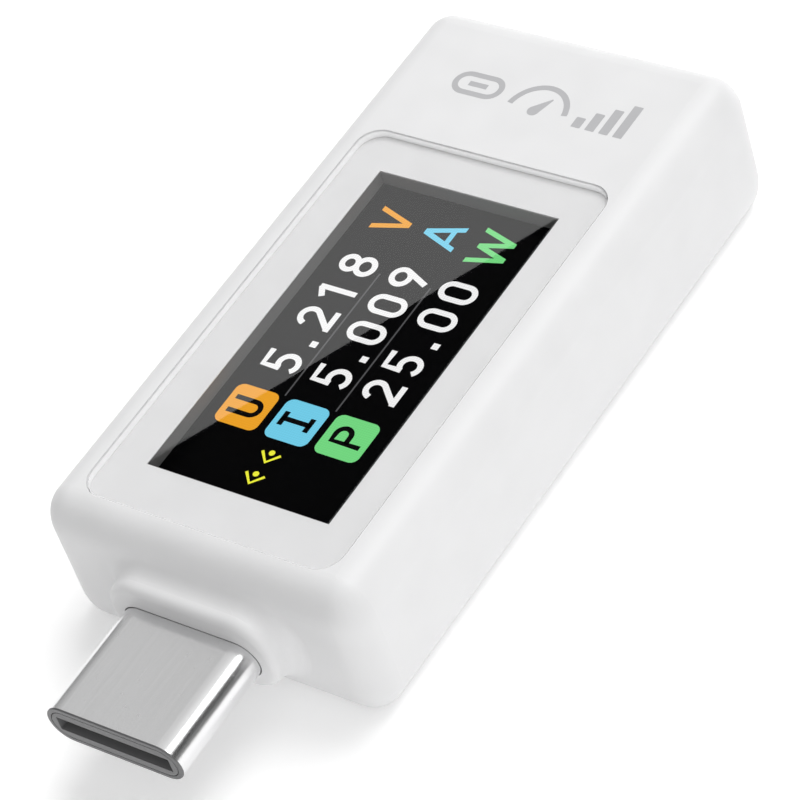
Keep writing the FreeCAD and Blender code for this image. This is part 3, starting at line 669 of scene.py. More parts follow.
@dataclass(frozen=True)
class Patch:
    """Filled outline.

    Attributes:
        points: The outline, in order.
    """

    points: tuple[Point, ...]


def bar(left: float, low: float, right: float, high: float) -> Patch:
    """Filled rectangle between two corners."""
    return Patch(((left, low), (right, low), (right, high), (left, high)))


Marks = list[tuple[Point, Stroke | Patch]]


# --------------------------------------------------------------------------- node trees


class Growth(ABC):
    """Geometry Nodes tree that turns drawn lines into a thin solid."""

    name: str
    sizes: tuple[str, ...]

    def __init__(self) -> None:
        """Builds the tree with its named inputs."""
        self.tree = bpy.data.node_groups.new(self.name, "GeometryNodeTree")
        face = self.tree.interface
        face.new_socket("Geometry", in_out="INPUT", socket_type="NodeSocketGeometry")
        for size in self.sizes:
            face.new_socket(size, in_out="INPUT", socket_type="NodeSocketFloat")
        face.new_socket("Material", in_out="INPUT", socket_type="NodeSocketMaterial")
        face.new_socket("Geometry", in_out="OUTPUT", socket_type="NodeSocketGeometry")
        self.graph = Graph(self.tree)
        self.start = self.graph.add("NodeGroupInput").outputs
        real = self.step("RealizeInstances", {0: self.solid()})
        coat = self.step("SetMaterial", {"Geometry": real, "Material": self.start["Material"]})
        self.graph.add("NodeGroupOutput", {0: coat})

    @abstractmethod
    def solid(self) -> bpy.types.NodeSocket:
        """Wires the solid."""

    def step(
        self, kind: str, feeds: dict[str | int, Feed], **settings: object
    ) -> bpy.types.NodeSocket:
        """Adds one geometry node, named without its GeometryNode, and returns its first output."""
        return self.graph.add("GeometryNode" + kind, feeds, **settings).outputs[0]

    def curves(self) -> bpy.types.NodeSocket:
        """Wires the drawn lines as curves."""
        return self.step("MeshToCurve", {0: self.start["Geometry"]})

    def grow(self, name: str, lines: bpy.types.Mesh, finish: Finish, **sizes: float) -> bpy.types.Object:
        """Runs the tree on drawn lines and keeps the result as a plain mesh.

        Args:
            name: Name of the new piece.
            lines: Mesh of edges only.
            finish: Finish of the piece.
            **sizes: Values of the named inputs, in metres.

        Returns:
            The new piece.
        """
        source = bpy.data.objects.new(name + "_lines", lines)
        bpy.context.scene.collection.objects.link(source)
        growth = source.modifiers.new("growth", "NODES")
        growth.node_group = self.tree
        values = {**sizes, "Level": lines.vertices[0].co.z, "Material": finish.material()}
        for socket in self.tree.interface.items_tree:
            if socket.in_out == "INPUT" and socket.name in values:
                growth[socket.identifier] = values[socket.name]
        source.update_tag()
        graph = bpy.context.evaluated_depsgraph_get()
        graph.update()
        mesh = bpy.data.meshes.new_from_object(source.evaluated_get(graph), depsgraph=graph)
        bpy.data.objects.remove(source)
        mesh.name = name
        shell = bmesh.new()
        shell.from_mesh(mesh)
        bmesh.ops.remove_doubles(shell, verts=shell.verts, dist=1e-8)
        bmesh.ops.recalc_face_normals(shell, faces=shell.faces)
        for face in shell.faces:
            face.smooth = False
        shell.to_mesh(mesh)
        shell.free()
        piece = bpy.data.objects.new(name, mesh)
        bpy.context.scene.collection.objects.link(piece)
        return piece


class Ribbons(Growth):
    """Gives each line an even width with square ends and mitred corners."""

    name = "ribbons"
    sizes = ("Width", "Height")

    def solid(self) -> bpy.types.NodeSocket:
        """Wires a flat bar along each line, widened at its corners.

        Returns:
            The solid's geometry socket.
        """
        upright = self.step("SetCurveNormal", {0: self.curves()}, mode="Z_UP")
        mitred = self.step("SetCurveRadius", {"Curve": upright, "Radius": self._mitre()})
        sides = {size: self.start[size] for size in self.sizes}
        profile = self.step("CurvePrimitiveQuadrilateral", sides)
        return self.step("CurveToMesh", {"Curve": mitred, "Profile Curve": profile, "Fill Caps": True})

    def _mitre(self) -> bpy.types.NodeSocket:
        """Wires the radius that keeps a bar as wide at a corner as beside it.

        Returns:
            The radius's socket.
        """
        graph = self.graph
        here = graph.add("GeometryNodeInputPosition").outputs[0]
        units, inside = [], []
        for step in (-1, 1):
            beside = graph.add("GeometryNodeOffsetPointInCurve", {"Offset": step}).outputs
            index = {"Index": beside["Point Index"]}
            there = graph.add("GeometryNodeFieldAtIndex", index, data_type="FLOAT_VECTOR", domain="POINT")
            graph.feed(next(s for s in there.inputs if s.name == "Value" and s.enabled), here)
            found = next(s for s in there.outputs if s.enabled)
            way = graph.vector_math("SUBTRACT", found, here)["Vector"]
            units.append(graph.vector_math("NORMALIZE", way)["Vector"])
            inside.append(beside["Is Valid Offset"])
        turn = graph.vector_math("DOT_PRODUCT", *units)["Value"]
        opening = graph.math("MULTIPLY_ADD", turn, -0.5, 0.5)
        wide = graph.math("DIVIDE", 1.0, graph.math("SQRT", graph.math("MAXIMUM", opening, 0.2)))
        inner = graph.math("MULTIPLY", *inside)
        return graph.math("MULTIPLY_ADD", inner, graph.math("SUBTRACT", wide, 1.0), 1.0)


class Plates(Growth):
    """Fills each closed line and gives it a thickness."""

    name = "plates"
    sizes = ("Corner", "Height", "Level")

    def solid(self) -> bpy.types.NodeSocket:
        """Wires rounded corners, the fill and its thickness.

        Returns:
            The solid's geometry socket.
        """
        graph = self.graph
        corners = {"Radius": self.start["Corner"], "Limit Radius": True, "Count": 8}
        rounded = self.step("FilletCurve", {"Curve": self.curves(), **corners}, mode="POLY")
        fill = self.step("FillCurve", {0: rounded}, mode="NGONS")
        level = graph.combine(Z=self.start["Level"])
        placed = self.step("SetPosition", {"Geometry": fill, "Offset": level})
        rise = {"Offset": graph.combine(Z=1.0), "Offset Scale": self.start["Height"], "Individual": False}
        raised = self.step("ExtrudeMesh", {"Mesh": placed, **rise}, mode="FACES")
        under = self.step("FlipFaces", {"Mesh": placed})
        both = graph.add("GeometryNodeJoinGeometry")
        for half in (raised, under):
            graph.feed(both.inputs[0], half)
        return both.outputs[0]


@dataclass(frozen=True)
class Sheet:
    """Flat place that marks are drawn on, such as the screen.

    Attributes:
        origin: Its lower left corner as X, Y and Z, in millimetres.
        turn: Angle from X to the reading direction, in degrees.
    """

    origin: tuple[float, float, float]
    turn: float

    def lines(self, name: str, marks: Marks, lift: float = 0.0) -> bpy.types.Mesh:
        """Draws marks as edges at their place.

        Args:
            name: Name of the mesh.
            marks: Each mark with the corner that its points are measured from.
            lift: Height above the sheet in millimetres.

        Returns:
            A mesh of edges.
        """
        spin = math.radians(self.turn)
        cos, sin = math.cos(spin), math.sin(spin)
        verts, edges = [], []
        for (across, up), mark in marks:
            first = len(verts)
            for x, y in mark.points:
                s, t = across + x, up + y
                spot = (self.origin[0] + s * cos - t * sin, self.origin[1] + s * sin + t * cos)
                verts.append(Vector((*spot, self.origin[2] + lift)) * MM)
            edges += [(k, k + 1) for k in range(first, len(verts) - 1)]
            if isinstance(mark, Patch) or mark.closed:
                edges.append((len(verts) - 1, first))
        mesh = bpy.data.meshes.new(name)
        mesh.from_pydata(verts, edges, [])
        return mesh


# --------------------------------------------------------------------------- glyphs


@dataclass(frozen=True)
class Numerals:
    """Shapes of the numerals that the screen shows, for one size of type.

    Attributes:
        width: Width of a numeral.
        height: Height of a numeral.
        stroke: Width of its lines.
    """

    width: float = 1.37
    height: float = 2.23
    stroke: float = 0.33

    def shape(self, numeral: str) -> list[Stroke]:
        """Centre lines of one numeral, from its lower left corner.

        Args:
            numeral: One of 0, 1, 2, 5, 8 and 9.

        Returns:
            The lines.
        """
        half = self.stroke / 2
        low, top = half, self.height - half
        left, right = half, self.width - half
        mid = (left + right) / 2
        rx = (right - left) / 2
        if numeral == "0":
            loop = arc((mid, top - rx), (rx, rx), 0, 180) + arc((mid, low + rx), (rx, rx), 180, 360)
            return [Stroke(tuple(loop), closed=True)]
        if numeral == "1":
            stem = left + 0.54
            return [Stroke(((stem, 0), (stem, self.height))), Stroke(((0.06, 1.77), (stem, 2.14)))]
        if numeral == "2":
            hook = arc((mid, top - 0.53), (rx, 0.53), 168, -36)
            return [Stroke((*hook, (left + 0.03, low + 0.06))), Stroke(((0, low), (self.width, low)))]
        if numeral == "5":
            bowl = arc((mid - 0.05, low + 0.56), (rx + 0.02, 0.56), 128, -143, 20)
            stem = left + 0.09
            return [Stroke(((1.31, top), (stem, top), (stem, 1.03))), Stroke(tuple(bowl))]
        if numeral == "8":
            lower = arc((mid, low + 0.5), (rx + 0.02, 0.5), 0, 360, 28)[:-1]
            upper = arc((mid, top - 0.44), (rx - 0.05, 0.44), 0, 360, 28)[:-1]
            return [Stroke(tuple(lower), closed=True), Stroke(tuple(upper), closed=True)]
        loop = arc((mid, top - 0.5), (rx, 0.5), 0, 360, 28)[:-1]
        tail = ((mid + rx * 0.93, top - 0.68), (0.56, 0))
        return [Stroke(tuple(loop), closed=True), Stroke(tail)]

    def point(self) -> Patch:
        """Decimal point."""
        return bar(0.02, 0.0, 0.42, 0.4)


@dataclass(frozen=True)
class Row:
    """One line of the screen.

    Attributes:
        quantity: Name of what it shows.
        reading: Numerals and point, each with its left edge.
        baseline: Height of the foot of the numerals.
        badge: Finish of the badge and of the unit.
        letter: Lines of the badge's letter.
        letter_at: Lower left corner of that letter.
        unit: Outlines of the unit's letter.
        unit_at: Lower left corner of that letter.
    """

    quantity: str
    reading: tuple[tuple[str, float], ...]
    baseline: float
    badge: Finish
    letter: tuple[Stroke, ...]
    letter_at: Point
    unit: tuple[Patch, ...]
    unit_at: Point


LETTER_U = (Stroke(((0.15, 1.89), *arc((0.595, 0.6), (0.445, 0.45), 180, 360), (1.04, 1.89))),)
LETTER_I = (
    Stroke(((0.46, 0.0), (0.46, 1.89))),
    Stroke(((0.0, 0.15), (0.92, 0.15))),
    Stroke(((0.0, 1.74), (0.92, 1.74))),
)
BOWL_OF_P = arc((0.64, 1.28), (0.43, 0.43), 85, -85, 12)
LETTER_P = (Stroke(((0.15, 0.0), (0.15, 1.71), (0.62, 1.71), *BOWL_OF_P, (0.15, 0.85))),)
UNIT_V = (Patch(((0.66, 0), (0.99, 0), (1.65, 2.14), (1.33, 2.14), (0.825, 0.48), (0.32, 2.14), (0, 2.14))),)
UNIT_A = (
    Patch(
        (
            (0, 0), (0.32, 0), (0.47, 0.44), (1.34, 0.44), (1.49, 0), (1.81, 0), (1.08, 2.17), (0.73, 2.17),
        )
    ),
    Patch(((0.57, 0.74), (0.905, 1.7), (1.24, 0.74))),
)
UNIT_W = (
    Patch(
        (
            (0.58, 0), (0.88, 0), (1.28, 1.35), (1.68, 0), (1.98, 0), (2.56, 2.12), (2.25, 2.12),
            (1.83, 0.62), (1.42, 1.95), (1.14, 1.95), (0.73, 0.62), (0.31, 2.12), (0, 2.12),
        )
    ),
)


# --------------------------------------------------------------------------- sub-assemblies


def keep(piece: bpy.types.Object) -> bpy.types.Object:
    """Fixes a new piece to the meter's body.

    Args:
        piece: The piece.

    Returns:
        The piece.
    """
    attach(piece, "body")
    log.info("made %s with %d faces", piece.name, len(piece.data.polygons))
    return piece


@dataclass
class Screen:
    """Colour display and the picture it shows.

    Attributes:
        sheet: Where the picture lies; its reading direction runs towards the socket.
        thickness: Height of a lit area above the film.
        badge_left: Left edge of the badges.
        badge_size: Side of a badge.
        badge_corner: Radius of its corners.
        letter_stroke: Width of the letters' lines.
        divider: Left end, right end and thickness of a dividing line.
        dividers: Heights of the dividing lines.
        arrows: Left tips of the two flow arrows.
        arrow_height: Height of the arrows' middle.
        arrow_stroke: Width of the arrows' lines.
        numerals: Shapes of the numerals.
        rows: What the three rows show.
    """

    sheet: Sheet = Sheet((-6.924, -10.651, 7.45), 90.0)
    thickness: float = 0.008
    badge_left: float = 4.28
    badge_size: float = 2.64
    badge_corner: float = 0.45
    letter_stroke: float = 0.3
    divider: tuple[float, float, float] = (6.95, 15.9, 0.09)
    dividers: tuple[float, float] = (-4.85, -8.0)
    arrows: tuple[float, float] = (1.25, 2.7)
    arrow_height: float = -6.43
    arrow_stroke: float = 0.16
    numerals: Numerals = Numerals()
    rows: tuple[Row, ...] = field(default_factory=tuple)

    def __post_init__(self) -> None:
        """Sets what the three rows show."""
        self.rows = (
            Row(
                "voltage",
                (("5", 8.2), (".", 10.24), ("2", 11.4), ("1", 13.45), ("8", 15.38)),
                -4.488,
                ORANGE_LIGHT,
                LETTER_U,
                (5.0, -4.31),
                UNIT_V,
                (18.6, -4.488),
            ),
            Row(
                "current",
                (("5", 8.2), (".", 10.24), ("0", 11.4), ("0", 13.4), ("9", 15.4)),
                -7.62,
                BLUE_LIGHT,
                LETTER_I,
                (5.17, -7.39),
                UNIT_A,
                (18.47, -7.62),
            ),
            Row(
                "power",
                (("2", 8.2), ("5", 10.22), (".", 12.26), ("0", 13.4), ("0", 15.4)),
                -10.7,
                GREEN_LIGHT,
                LETTER_P,
                (5.09, -10.55),
                UNIT_W,
                (18.1, -10.7),
            ),
        )

    def build(self, ribbons: Ribbons, plates: Plates) -> None:
        """Dresses the display's layers and makes everything it lights.

        Args:
            ribbons: Tree for lines.
            plates: Tree for filled shapes.
        """
        dress(SCREEN, "display_front_polarizer", "display_rear_polarizer")
        dress(PANE, "display_upper_glass", "display_lower_glass")
        dress(MILKY, "display_films", "display_reflector")
        dress(GUIDE, "display_light_guide")
        dress(LAMP, "display_lamps")
        dress(TRAY, "display_tray")
        dress(SILICON, "display_driver_chip")
        dress(FLEX, "display_flex")
        self._readings(ribbons, plates)
        for row in self.rows:
            self._row(row, plates)
        self._badge_letters(ribbons)
        self._flow(ribbons, plates)
        self._dividers(plates)

    def _grow(
        self, growth: Growth, name: str, marks: Marks, finish: Finish, lift: float = 0.0, **sizes: float
    ) -> None:
        """Makes one lit piece of the picture and keeps it.

        Args:
            growth: Tree that makes it from its marks.
            name: Its name.
            marks: Its marks.
            finish: Its finish.
            lift: Height above the film in millimetres.
            **sizes: The tree's own sizes in millimetres.
        """
        lines = self.sheet.lines(name, marks, lift)
        sizes = {size: value * MM for size, value in {**sizes, "Height": self.thickness}.items()}
        keep(growth.grow(name, lines, finish, **sizes))

    def _ribbon(
        self, ribbons: Ribbons, name: str, marks: Marks, finish: Finish, width: float, lift: float = 0.0
    ) -> None:
        """Makes one piece of lines and keeps it."""
        self._grow(ribbons, name, marks, finish, lift + self.thickness / 2, Width=width)

    def _plate(
        self, plates: Plates, name: str, marks: Marks, finish: Finish, corner: float = 0.0
    ) -> None:
        """Makes one piece of filled shapes and keeps it."""
        self._grow(plates, name, marks, finish, Corner=corner)

    def _readings(self, ribbons: Ribbons, plates: Plates) -> None:
        """Makes the numerals of all rows and their points.

        Args:
            ribbons: Tree for lines.
            plates: Tree for filled shapes.
        """
        strokes, points = [], []
        for row in self.rows:
            for sign, left in row.reading:
                corner = (left, row.baseline)
                if sign == ".":
                    points.append((corner, self.numerals.point()))
                else:
                    strokes += [(corner, line) for line in self.numerals.shape(sign)]
        self._ribbon(ribbons, "screen_numerals", strokes, WHITE_LIGHT, self.numerals.stroke)
        self._plate(plates, "screen_points", points, WHITE_LIGHT)

    def _row(self, row: Row, plates: Plates) -> None:
        """Makes the badge and the unit of one row.

        Args:
            row: The row.
            plates: Tree for filled shapes.
        """
        middle = row.baseline + self.numerals.height / 2
        corner = (self.badge_left, middle - self.badge_size / 2)
        square = [(corner, bar(0.0, 0.0, self.badge_size, self.badge_size))]
        unit = [(row.unit_at, patch) for patch in row.unit]
        self._plate(plates, f"screen_badge_{row.quantity}", square, row.badge, self.badge_corner)
        self._plate(plates, f"screen_unit_{row.quantity}", unit, row.badge)

    def _badge_letters(self, ribbons: Ribbons) -> None:
        """Makes the dark letters on the badges."""
        marks = [(row.letter_at, line) for row in self.rows for line in row.letter]
        self._ribbon(ribbons, "screen_badge_letters", marks, UNLIT, self.letter_stroke, lift=self.thickness)

    def _flow(self, ribbons: Ribbons, plates: Plates) -> None:
        """Makes the two arrows that show which way the current flows.

        Args:
            ribbons: Tree for lines.
            plates: Tree for filled shapes.
        """
        chevron = Stroke(((0.72, 0.56), (0.1, 0.0), (0.72, -0.56)))
        dot = Patch(tuple(arc((0.74, 0.0), (0.17, 0.17), 0, 360, 16)[:-1]))
        spots = [(left, self.arrow_height) for left in self.arrows]
        chevrons = [(spot, chevron) for spot in spots]
        self._ribbon(ribbons, "screen_flow_arrows", chevrons, YELLOW_LIGHT, self.arrow_stroke)
        self._plate(plates, "screen_flow_dots", [(spot, dot) for spot in spots], YELLOW_LIGHT)

    def _dividers(self, plates: Plates) -> None:
        """Makes the faint lines between the rows.

        Args:
            plates: Tree for filled shapes.
        """
        left, right, thick = self.divider
        marks = [((left, up), bar(0.0, -thick / 2, right - left, thick / 2)) for up in self.dividers]
        self._plate(plates, "screen_dividers", marks, GREY_LIGHT)


@dataclass
class Case:
    """Two-part case with its printed pictogram.

    Attributes:
        sheet: Where the pictogram lies on the top face.
        height: Height of the printed symbols.
        stroke: Width of the printed lines.
        film: Thickness of the ink.
        corner: Radius of the filled shapes' corners.
    """

    sheet: Sheet = Sheet((-5.2, 16.8, 8.8), 0.0)
    height: float = 2.4
    stroke: float = 0.34
    film: float = 0.006
    corner: float = 0.05

    def build(self, ribbons: Ribbons, plates: Plates) -> None:
        """Dresses both halves and prints the pictogram.

        Args:
            ribbons: Tree for lines.
            plates: Tree for filled shapes.
        """
        dress(CASE, "top_shell")
        dress(COVER, "bottom_cover")
        height = 2 * self.film * MM
        lines = self.sheet.lines("pictogram_lines", self._lines())
        grown = ribbons.grow("pictogram_lines", lines, MARK_INK, Width=self.stroke * MM, Height=height)
        keep(grown)
        fills = self.sheet.lines("pictogram_fills", self._fills(), -self.film)
        grown = plates.grow("pictogram_fills", fills, MARK_INK, Corner=self.corner * MM, Height=height)
        keep(grown)

    def _lines(self) -> list[tuple[Point, Stroke]]:
        """Lines of the pictogram: a connector's mouth and a dial.

        Returns:
            Each line with the corner it is measured from.
        """
        middle = self.height / 2
        mouth = arc((2.15, middle), (0.68, 0.68), -90, 90) + arc((0.72, middle), (0.68, 0.68), 90, 270)
        dial = arc((5.5, 0.3), (1.7, 1.9), 172, 8, 24)
        tongue = ((0.85, middle), (2.0, middle))
        marks = (Stroke(tuple(mouth), closed=True), Stroke(tongue), Stroke(tuple(dial)))
        return [((0.17, 0.0), mark) for mark in marks]

    def _fills(self) -> list[tuple[Point, Patch]]:
        """Filled shapes of the pictogram: the dial's hand and four rising bars.

        Returns:
            Each shape with the corner it is measured from.
        """
        bars = [((8.1 + 0.85 * k, 0.0), bar(0.0, 0.0, 0.55, 0.75 + 0.55 * k)) for k in range(4)]
        hand = Patch((*arc((0.0, 0.0), (0.34, 0.34), 130, 340, 14), (0.72, 1.2)))
        return [*bars, ((5.55, 0.4), hand)]


@dataclass
class Window:
    """Clear front sheet with its printed frame, tape and the display's gasket.

    Attributes:
        opening: Lowest and highest corner of the clear area, in millimetres.
        corner: Radius of the sheet's corners.
        chamfer: Polished chamfer round its upper edge.
        lift: Clearance of its underside above the ink.
        steps: Chords in each rounded corner.
    """

    opening: tuple[Point, Point] = ((-5.26, -10.98), (5.83, 10.76))
    corner: float = 1.3
    chamfer: float = 0.05
    lift: float = 0.01
    steps: int = 20

    def build(self) -> None:
        """Makes the clear sheet and dresses what lies under it."""
        opening = tuple((x * MM, y * MM) for x, y in self.opening)
        sheet = self._sheet()
        sheet.data.materials.append(ClearSheet("front_sheet", (1.0, 1.0, 1.0), window=opening).material())
        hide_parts("cover_lens")
        keep(sheet)
        dress(INK, "lens_print")
        dress(TAPE, "lens_tape")
        dress(GASKET, "display_gasket")

    def _sheet(self) -> bpy.types.Object:
        """Makes the sheet: a level underside, upright sides, a chamfer and a level top.

        Returns:
            The sheet.
        """
        low, high = (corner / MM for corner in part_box("cover_lens"))
        levels = ((low.z + self.lift, 0.0), (high.z - self.chamfer, 0.0), (high.z, self.chamfer))
        mesh = bmesh.new()
        loops = []
        for height, inset in levels:
            outline = self._outline(low, high, inset)
            loops.append([mesh.verts.new(Vector((x, y, height)) * MM) for x, y in outline])
        mesh.faces.new(reversed(loops[0]))
        mesh.faces.new(loops[-1])
        for under, over in zip(loops, loops[1:]):
            for k in range(len(under)):
                n = (k + 1) % len(under)
                mesh.faces.new((under[k], under[n], over[n], over[k]))
        bmesh.ops.recalc_face_normals(mesh, faces=mesh.faces)
        data = bpy.data.meshes.new("front_sheet")
        mesh.to_mesh(data)
        mesh.free()
        sheet = bpy.data.objects.new("front_sheet", data)
        bpy.context.scene.collection.objects.link(sheet)
        return sheet

    def _outline(self, low: Vector, high: Vector, inset: float) -> list[Point]:
        """Rounded outline of the sheet.

        Args:
            low: Lowest corner of its box.
            high: Highest corner of its box.
            inset: Distance inside that box.

        Returns:
            Points, anticlockwise.
        """
        radius = self.corner - inset
        points = []
        corners = ((high.x, high.y), (low.x, high.y), (low.x, low.y), (high.x, low.y))
        for turn, (x, y) in zip((0, 90, 180, 270), corners):
            centre = (
                x - math.copysign(self.corner, x - (low.x + high.x) / 2),
                y - math.copysign(self.corner, y - (low.y + high.y) / 2),
            )
            points += arc(centre, (radius, radius), turn, turn + 90, self.steps)
        return points


class Plug:
    """Plug with its shell, moulding, contacts, latches and springs."""

    def build(self) -> None:
        """Dresses the plug's parts."""
        dress(PLUG_STEEL, "plug_shell")
        dress(DARK_MOULDING, "plug_insulator")
        dress(BLACK_MOULDING, "plug_rear_block")
        dress(GOLD, "plug_beams_upper", "plug_beams_lower", "plug_tails_upper", "plug_tails_lower")
        dress(SPRING_STEEL, "plug_mid_plate", "plug_latch_right", "plug_latch_left")
        dress(SPRING_STEEL, "shield_spring_upper", "shield_spring_lower")


class Socket:
    """Socket at the other end, with its shell, tongue and contacts."""

    def build(self) -> None:
        """Dresses the socket's parts."""
        dress(SOCKET_STEEL, "socket_shell")
        dress(BLACK_MOULDING, "socket_insulator")
        dress(SPRING_STEEL, "socket_mid_plate")
        dress(GOLD, "socket_contacts_upper", "socket_contacts_lower")


class Board:
    """Circuit board and what is soldered to it."""

    def build(self) -> None:
        """Dresses the board and its components."""
        dress(BOARD, "main_board")
        dress(EPOXY, "microcontroller", "sense_amplifier", "voltage_regulator", "surge_diode")
        dress(TIN, "sense_amplifier_leads", "voltage_regulator_leads", "surge_diode_tabs")
        dress(SHUNT, "current_shunt")
        dress(CERAMIC, "capacitors")
        dress(GLAZE, "resistors", "id_resistors")


# --------------------------------------------------------------------------- studio


@dataclass(frozen=True)
class Paper(Finish):
    """Pale matt paper of the studio's floor, lit a little from below.

    Attributes:
        glow: Brightness of the light that comes through it.
    """

    glow: float = 0.2

    def surface(self, graph: Graph) -> bpy.types.NodeSocket:
        """Wires faint fibres into the colour and the roughness.

        Args:
            graph: Graph on the material's own tree.

        Returns:
            The shader's socket.
        """
        fibres = graph.noise(graph.place(), 900.0, 4.0)
        (darker,) = self.shades(0.985)
        shader = self.principled(graph, Emission_Color=(1.0, 1.0, 1.0, 1.0), Emission_Strength=self.glow)
        graph.feed(shader.inputs["Base Color"], graph.tint(fibres, darker, self.colour))
        graph.feed(shader.inputs["Roughness"], graph.spread(fibres, 0.3, 0.7, 0.85, 0.95))
        return shader.outputs[0]


@dataclass(frozen=True)
class CardLight(Finish):
    """Face of a studio card: glowing, black, or glowing at its foot only.

    Attributes:
        strength: Brightness of its face.
        fade: Height at which the glow has died away, in metres, or 0 for an even face.
    """

    strength: float = 1.0
    fade: float = 0.0

    def surface(self, graph: Graph) -> bpy.types.NodeSocket:
        """Wires the emission.

        Args:
            graph: Graph on the material's own tree.

        Returns:
            The shader's socket.
        """
        strength = self.strength
        if self.fade:
            strength = graph.spread(graph.axis(graph.place(), "Z"), 0.0, self.fade, self.strength, 0.0)
        glow = {"Color": (*self.colour, 1.0), "Strength": strength}
        return graph.add("ShaderNodeEmission", glow).outputs[0]


@dataclass(frozen=True)
class Lamp:
    """Square soft light of the studio, never seen by the camera itself.

    Attributes:
        name: Its name.
        place: Its middle, in millimetres.
        target: Point it faces, in millimetres.
        side: Its side, in millimetres.
        power: Its power in watts.
        mirrored: Whether reflections show it.
        direct: Whether it lights matt surfaces.
    """

    name: str
    place: Vector
    target: Vector
    side: float
    power: float
    mirrored: bool = True
    direct: bool = True

    def build(self) -> None:
        """Hangs the light in the scene."""
        light = bpy.data.lights.new(self.name, "AREA")
        light.shape = "SQUARE"
        light.size = self.side * MM
        light.energy = self.power
        lamp = bpy.data.objects.new(self.name, light)
        lamp.location = self.place * MM
        lamp.rotation_mode = "QUATERNION"
        lamp.rotation_quaternion = (self.place - self.target).to_track_quat("Z", "Y")
        lamp.visible_camera = False
        lamp.visible_glossy = self.mirrored
        lamp.visible_diffuse = self.direct
        bpy.context.scene.collection.objects.link(lamp)


def between(first: Point, last: Point, share: float) -> Point:
    """Point on the line through two others: a share of 0 gives the first and 1 the last."""
    return tuple(start + (end - start) * share for start, end in zip(first, last))


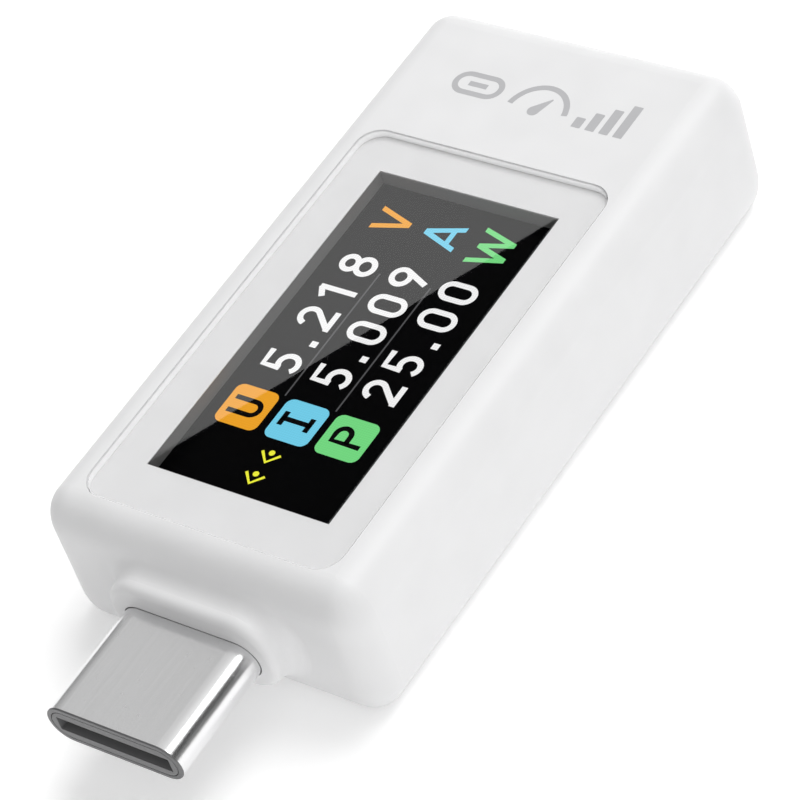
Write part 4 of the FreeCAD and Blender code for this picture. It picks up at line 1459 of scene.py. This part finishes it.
@dataclass
class Studio:
    """Pale floor, soft light and the camera.

    Attributes:
        azimuth: Camera's direction round the meter, 0 looking along +Y, in degrees.
        elevation: Its height above the horizon, in degrees.
        roll: Turn about its axis, in degrees.
        lens: Focal length for a 36 mm sensor.
        distance: From the aim point.
        aim: Point it looks at.
        lamps: Main light, light that only shows as a highlight along edges, and a small light
            near the plug.
        sky: Brightness of the surroundings at the horizon and overhead.
        sky_height: How high the overhead brightness starts, 1 being straight up.
        dim_side: Where the surroundings are dimmest and where they are full, as X plus Y of the
            direction, and the share of light left where they are dimmest.
        floor_side: Side of the floor.
        card_reach: How far off the cards stand, as a multiple of the camera's way.
        card_glow: Brightness of the bright card.
        card_line: Ends of the line on the clear sheet where the two cards meet in its mirror.
        card_overlap: How far that line goes on past both ends, as a share of it.
        bright_edges: Far edges of the bright card in that mirror, as X and Y.
        dark_edges: Far edges of the dark card in that mirror, as X and Y.
        flag_foot: Ends of the foot of the tall flag, which stands behind and to the right.
        flag_rise: Heights of its lower and its upper edge.
        flag_glow: Brightness at the flag's foot.
        flag_fade: Height at which that brightness has died away, in metres.
    """

    azimuth: float = 47.0429
    elevation: float = 44.3348
    roll: float = -19.7934
    lens: float = 167.03
    distance: float = 188.285
    aim: tuple[float, float, float] = (1.1626, 0.5608, 3.9201)
    lamps: tuple[Lamp, ...] = (
        Lamp("key_light", Vector((0.05, 0.49, 0.87)).normalized() * 500, Vector(), 340, 1.36, mirrored=False),
        Lamp("edge_light", Vector((0.45, 0.49, 0.75)).normalized() * 500, Vector(), 220, 0.45, direct=False),
        Lamp("fill_light", Vector((65.0, -75.0, 22.0)), Vector((4.0, -14.0, 4.0)), 60, 0.01),
    )
    sky: tuple[float, float] = (0.42, 0.86)
    sky_height: float = 0.8
    dim_side: tuple[float, float, float] = (-1.4, 0.6, 0.42)
    floor_side: float = 1000.0
    card_reach: float = 1.8
    card_glow: float = 0.95
    card_line: tuple[Point, Point] = ((-5.27, -10.985), (5.82, 10.75))
    card_overlap: float = 0.12
    bright_edges: Point = (-9.5, 16.0)
    dark_edges: Point = (9.5, -12.6)
    flag_foot: tuple[Point, Point] = ((500.0, -250.0), (150.0, 900.0))
    flag_rise: tuple[float, float] = (1.0, 460.0)
    flag_glow: float = 0.3
    flag_fade: float = 0.25

    def build(self) -> None:
        """Makes the floor, the lights, the cards and the camera."""
        bpy.context.scene.view_settings.view_transform = "Standard"
        self._floor()
        self._surroundings()
        for lamp in self.lamps:
            lamp.build()
        self._camera()
        self._flag()
        self._cards()

    def _floor(self) -> None:
        """Makes the floor that the meter lies on."""
        half = self.floor_side / 2
        corners = [(-half, -half, 0.0), (half, -half, 0.0), (half, half, 0.0), (-half, half, 0.0)]
        self._panel(corners, Paper("floor_paper", (0.97, 0.97, 0.97)), "studio_floor")

    def _panel(
        self, corners: list[tuple[float, float, float]], finish: Finish, name: str
    ) -> bpy.types.Object:
        """Makes one flat panel of the studio.

        Args:
            corners: Its corners in millimetres, in order.
            finish: Its finish.
            name: Its name.

        Returns:
            The panel.
        """
        mesh = bpy.data.meshes.new(name)
        mesh.from_pydata([Vector(corner) * MM for corner in corners], [], [range(len(corners))])
        mesh.materials.append(finish.material())
        panel = bpy.data.objects.new(name, mesh)
        bpy.context.scene.collection.objects.link(panel)
        return panel

    def _surroundings(self) -> None:
        """Makes the even light from all round, weaker near the horizon and to the front left."""
        world = bpy.data.worlds.new("studio_light")
        world.use_nodes = True
        world.node_tree.nodes.clear()
        graph = Graph(world.node_tree)
        way = graph.add("ShaderNodeTexCoord").outputs["Generated"]
        height = graph.spread(graph.axis(way, "Z"), 0.0, self.sky_height, *self.sky)
        behind = graph.math("ADD", graph.axis(way, "X"), graph.axis(way, "Y"))
        dimmed = graph.math("MULTIPLY", height, graph.spread(behind, *self.dim_side, 1.0))
        seen = graph.add("ShaderNodeLightPath").outputs["Is Camera Ray"]
        light = {"Color": (1.0, 1.0, 1.0, 1.0), "Strength": graph.math("MAXIMUM", dimmed, seen)}
        surface = graph.add("ShaderNodeBackground", light).outputs[0]
        graph.add("ShaderNodeOutputWorld", {"Surface": surface})
        bpy.context.scene.world = world

    def _back(self) -> Vector:
        """Direction from the aim point to the camera."""
        turn, rise = math.radians(self.azimuth), math.radians(self.elevation)
        return Vector((math.sin(turn) * math.cos(rise), -math.cos(turn) * math.cos(rise), math.sin(rise)))

    def _camera(self) -> None:
        """Places the camera."""
        data = bpy.data.cameras.new("camera")
        data.sensor_width = 36.0
        data.lens = self.lens
        data.clip_start, data.clip_end = 0.001, 10.0
        camera = bpy.data.objects.new("camera", data)
        back = self._back()
        camera.location = (Vector(self.aim) + back * self.distance) * MM
        camera.rotation_mode = "QUATERNION"
        level = back.to_track_quat("Z", "Y")
        camera.rotation_quaternion = level @ Quaternion((0.0, 0.0, 1.0), math.radians(self.roll))
        bpy.context.scene.collection.objects.link(camera)
        bpy.context.scene.camera = camera

    def _cards(self) -> None:
        """Hangs a bright and a dark card side by side, which the clear sheet mirrors."""
        eye = Vector(self.aim) + self._back() * self.distance
        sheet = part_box("cover_lens")[1].z / MM
        image = Vector((eye.x, eye.y, 2 * sheet - eye.z))
        start = between(*self.card_line, -self.card_overlap)
        end = between(*self.card_line, 1 + self.card_overlap)
        (left, top), (right, foot) = self.bright_edges, self.dark_edges
        bright = [start, end, (end[0], top), (left, top), (left, start[1])]
        dark = [start, (start[0], foot), (right, foot), (right, end[1]), end]
        for name, corners, glow in (("bright_card", bright, self.card_glow), ("dark_card", dark, 0.0)):
            spots = [image + (Vector((x, y, sheet)) - image) * self.card_reach for x, y in corners]
            self._reflector(spots, CardLight(name, (1.0, 1.0, 1.0), strength=glow))

    def _flag(self) -> None:
        """Stands a tall flag, dark but for its foot, which makes the dark line on the plug's side."""
        low, high = self.flag_rise
        corners = [(*foot, low) for foot in self.flag_foot]
        corners += [(*foot, high) for foot in reversed(self.flag_foot)]
        finish = CardLight("black_flag", (1.0, 1.0, 1.0), strength=self.flag_glow, fade=self.flag_fade)
        self._reflector(corners, finish)

    def _reflector(self, corners: list[tuple[float, float, float]], finish: Finish) -> None:
        """Makes a panel that shows in reflections only.

        Args:
            corners: Its corners in millimetres, in order.
            finish: Its finish, which also names it.
        """
        card = self._panel(corners, finish, finish.name)
        card.visible_camera = False
        card.visible_diffuse = False
        card.visible_shadow = False
        card.visible_transmission = False


def main() -> None:
    """Builds the meter's looks and the studio, in order."""
    logging.basicConfig(level=logging.INFO, format="%(name)s: %(message)s")
    ribbons, plates = Ribbons(), Plates()
    Studio().build()
    Case().build(ribbons, plates)
    Window().build()
    Screen().build(ribbons, plates)
    for part in (Plug(), Socket(), Board()):
        part.build()


if __name__ == "__main__":
    main()
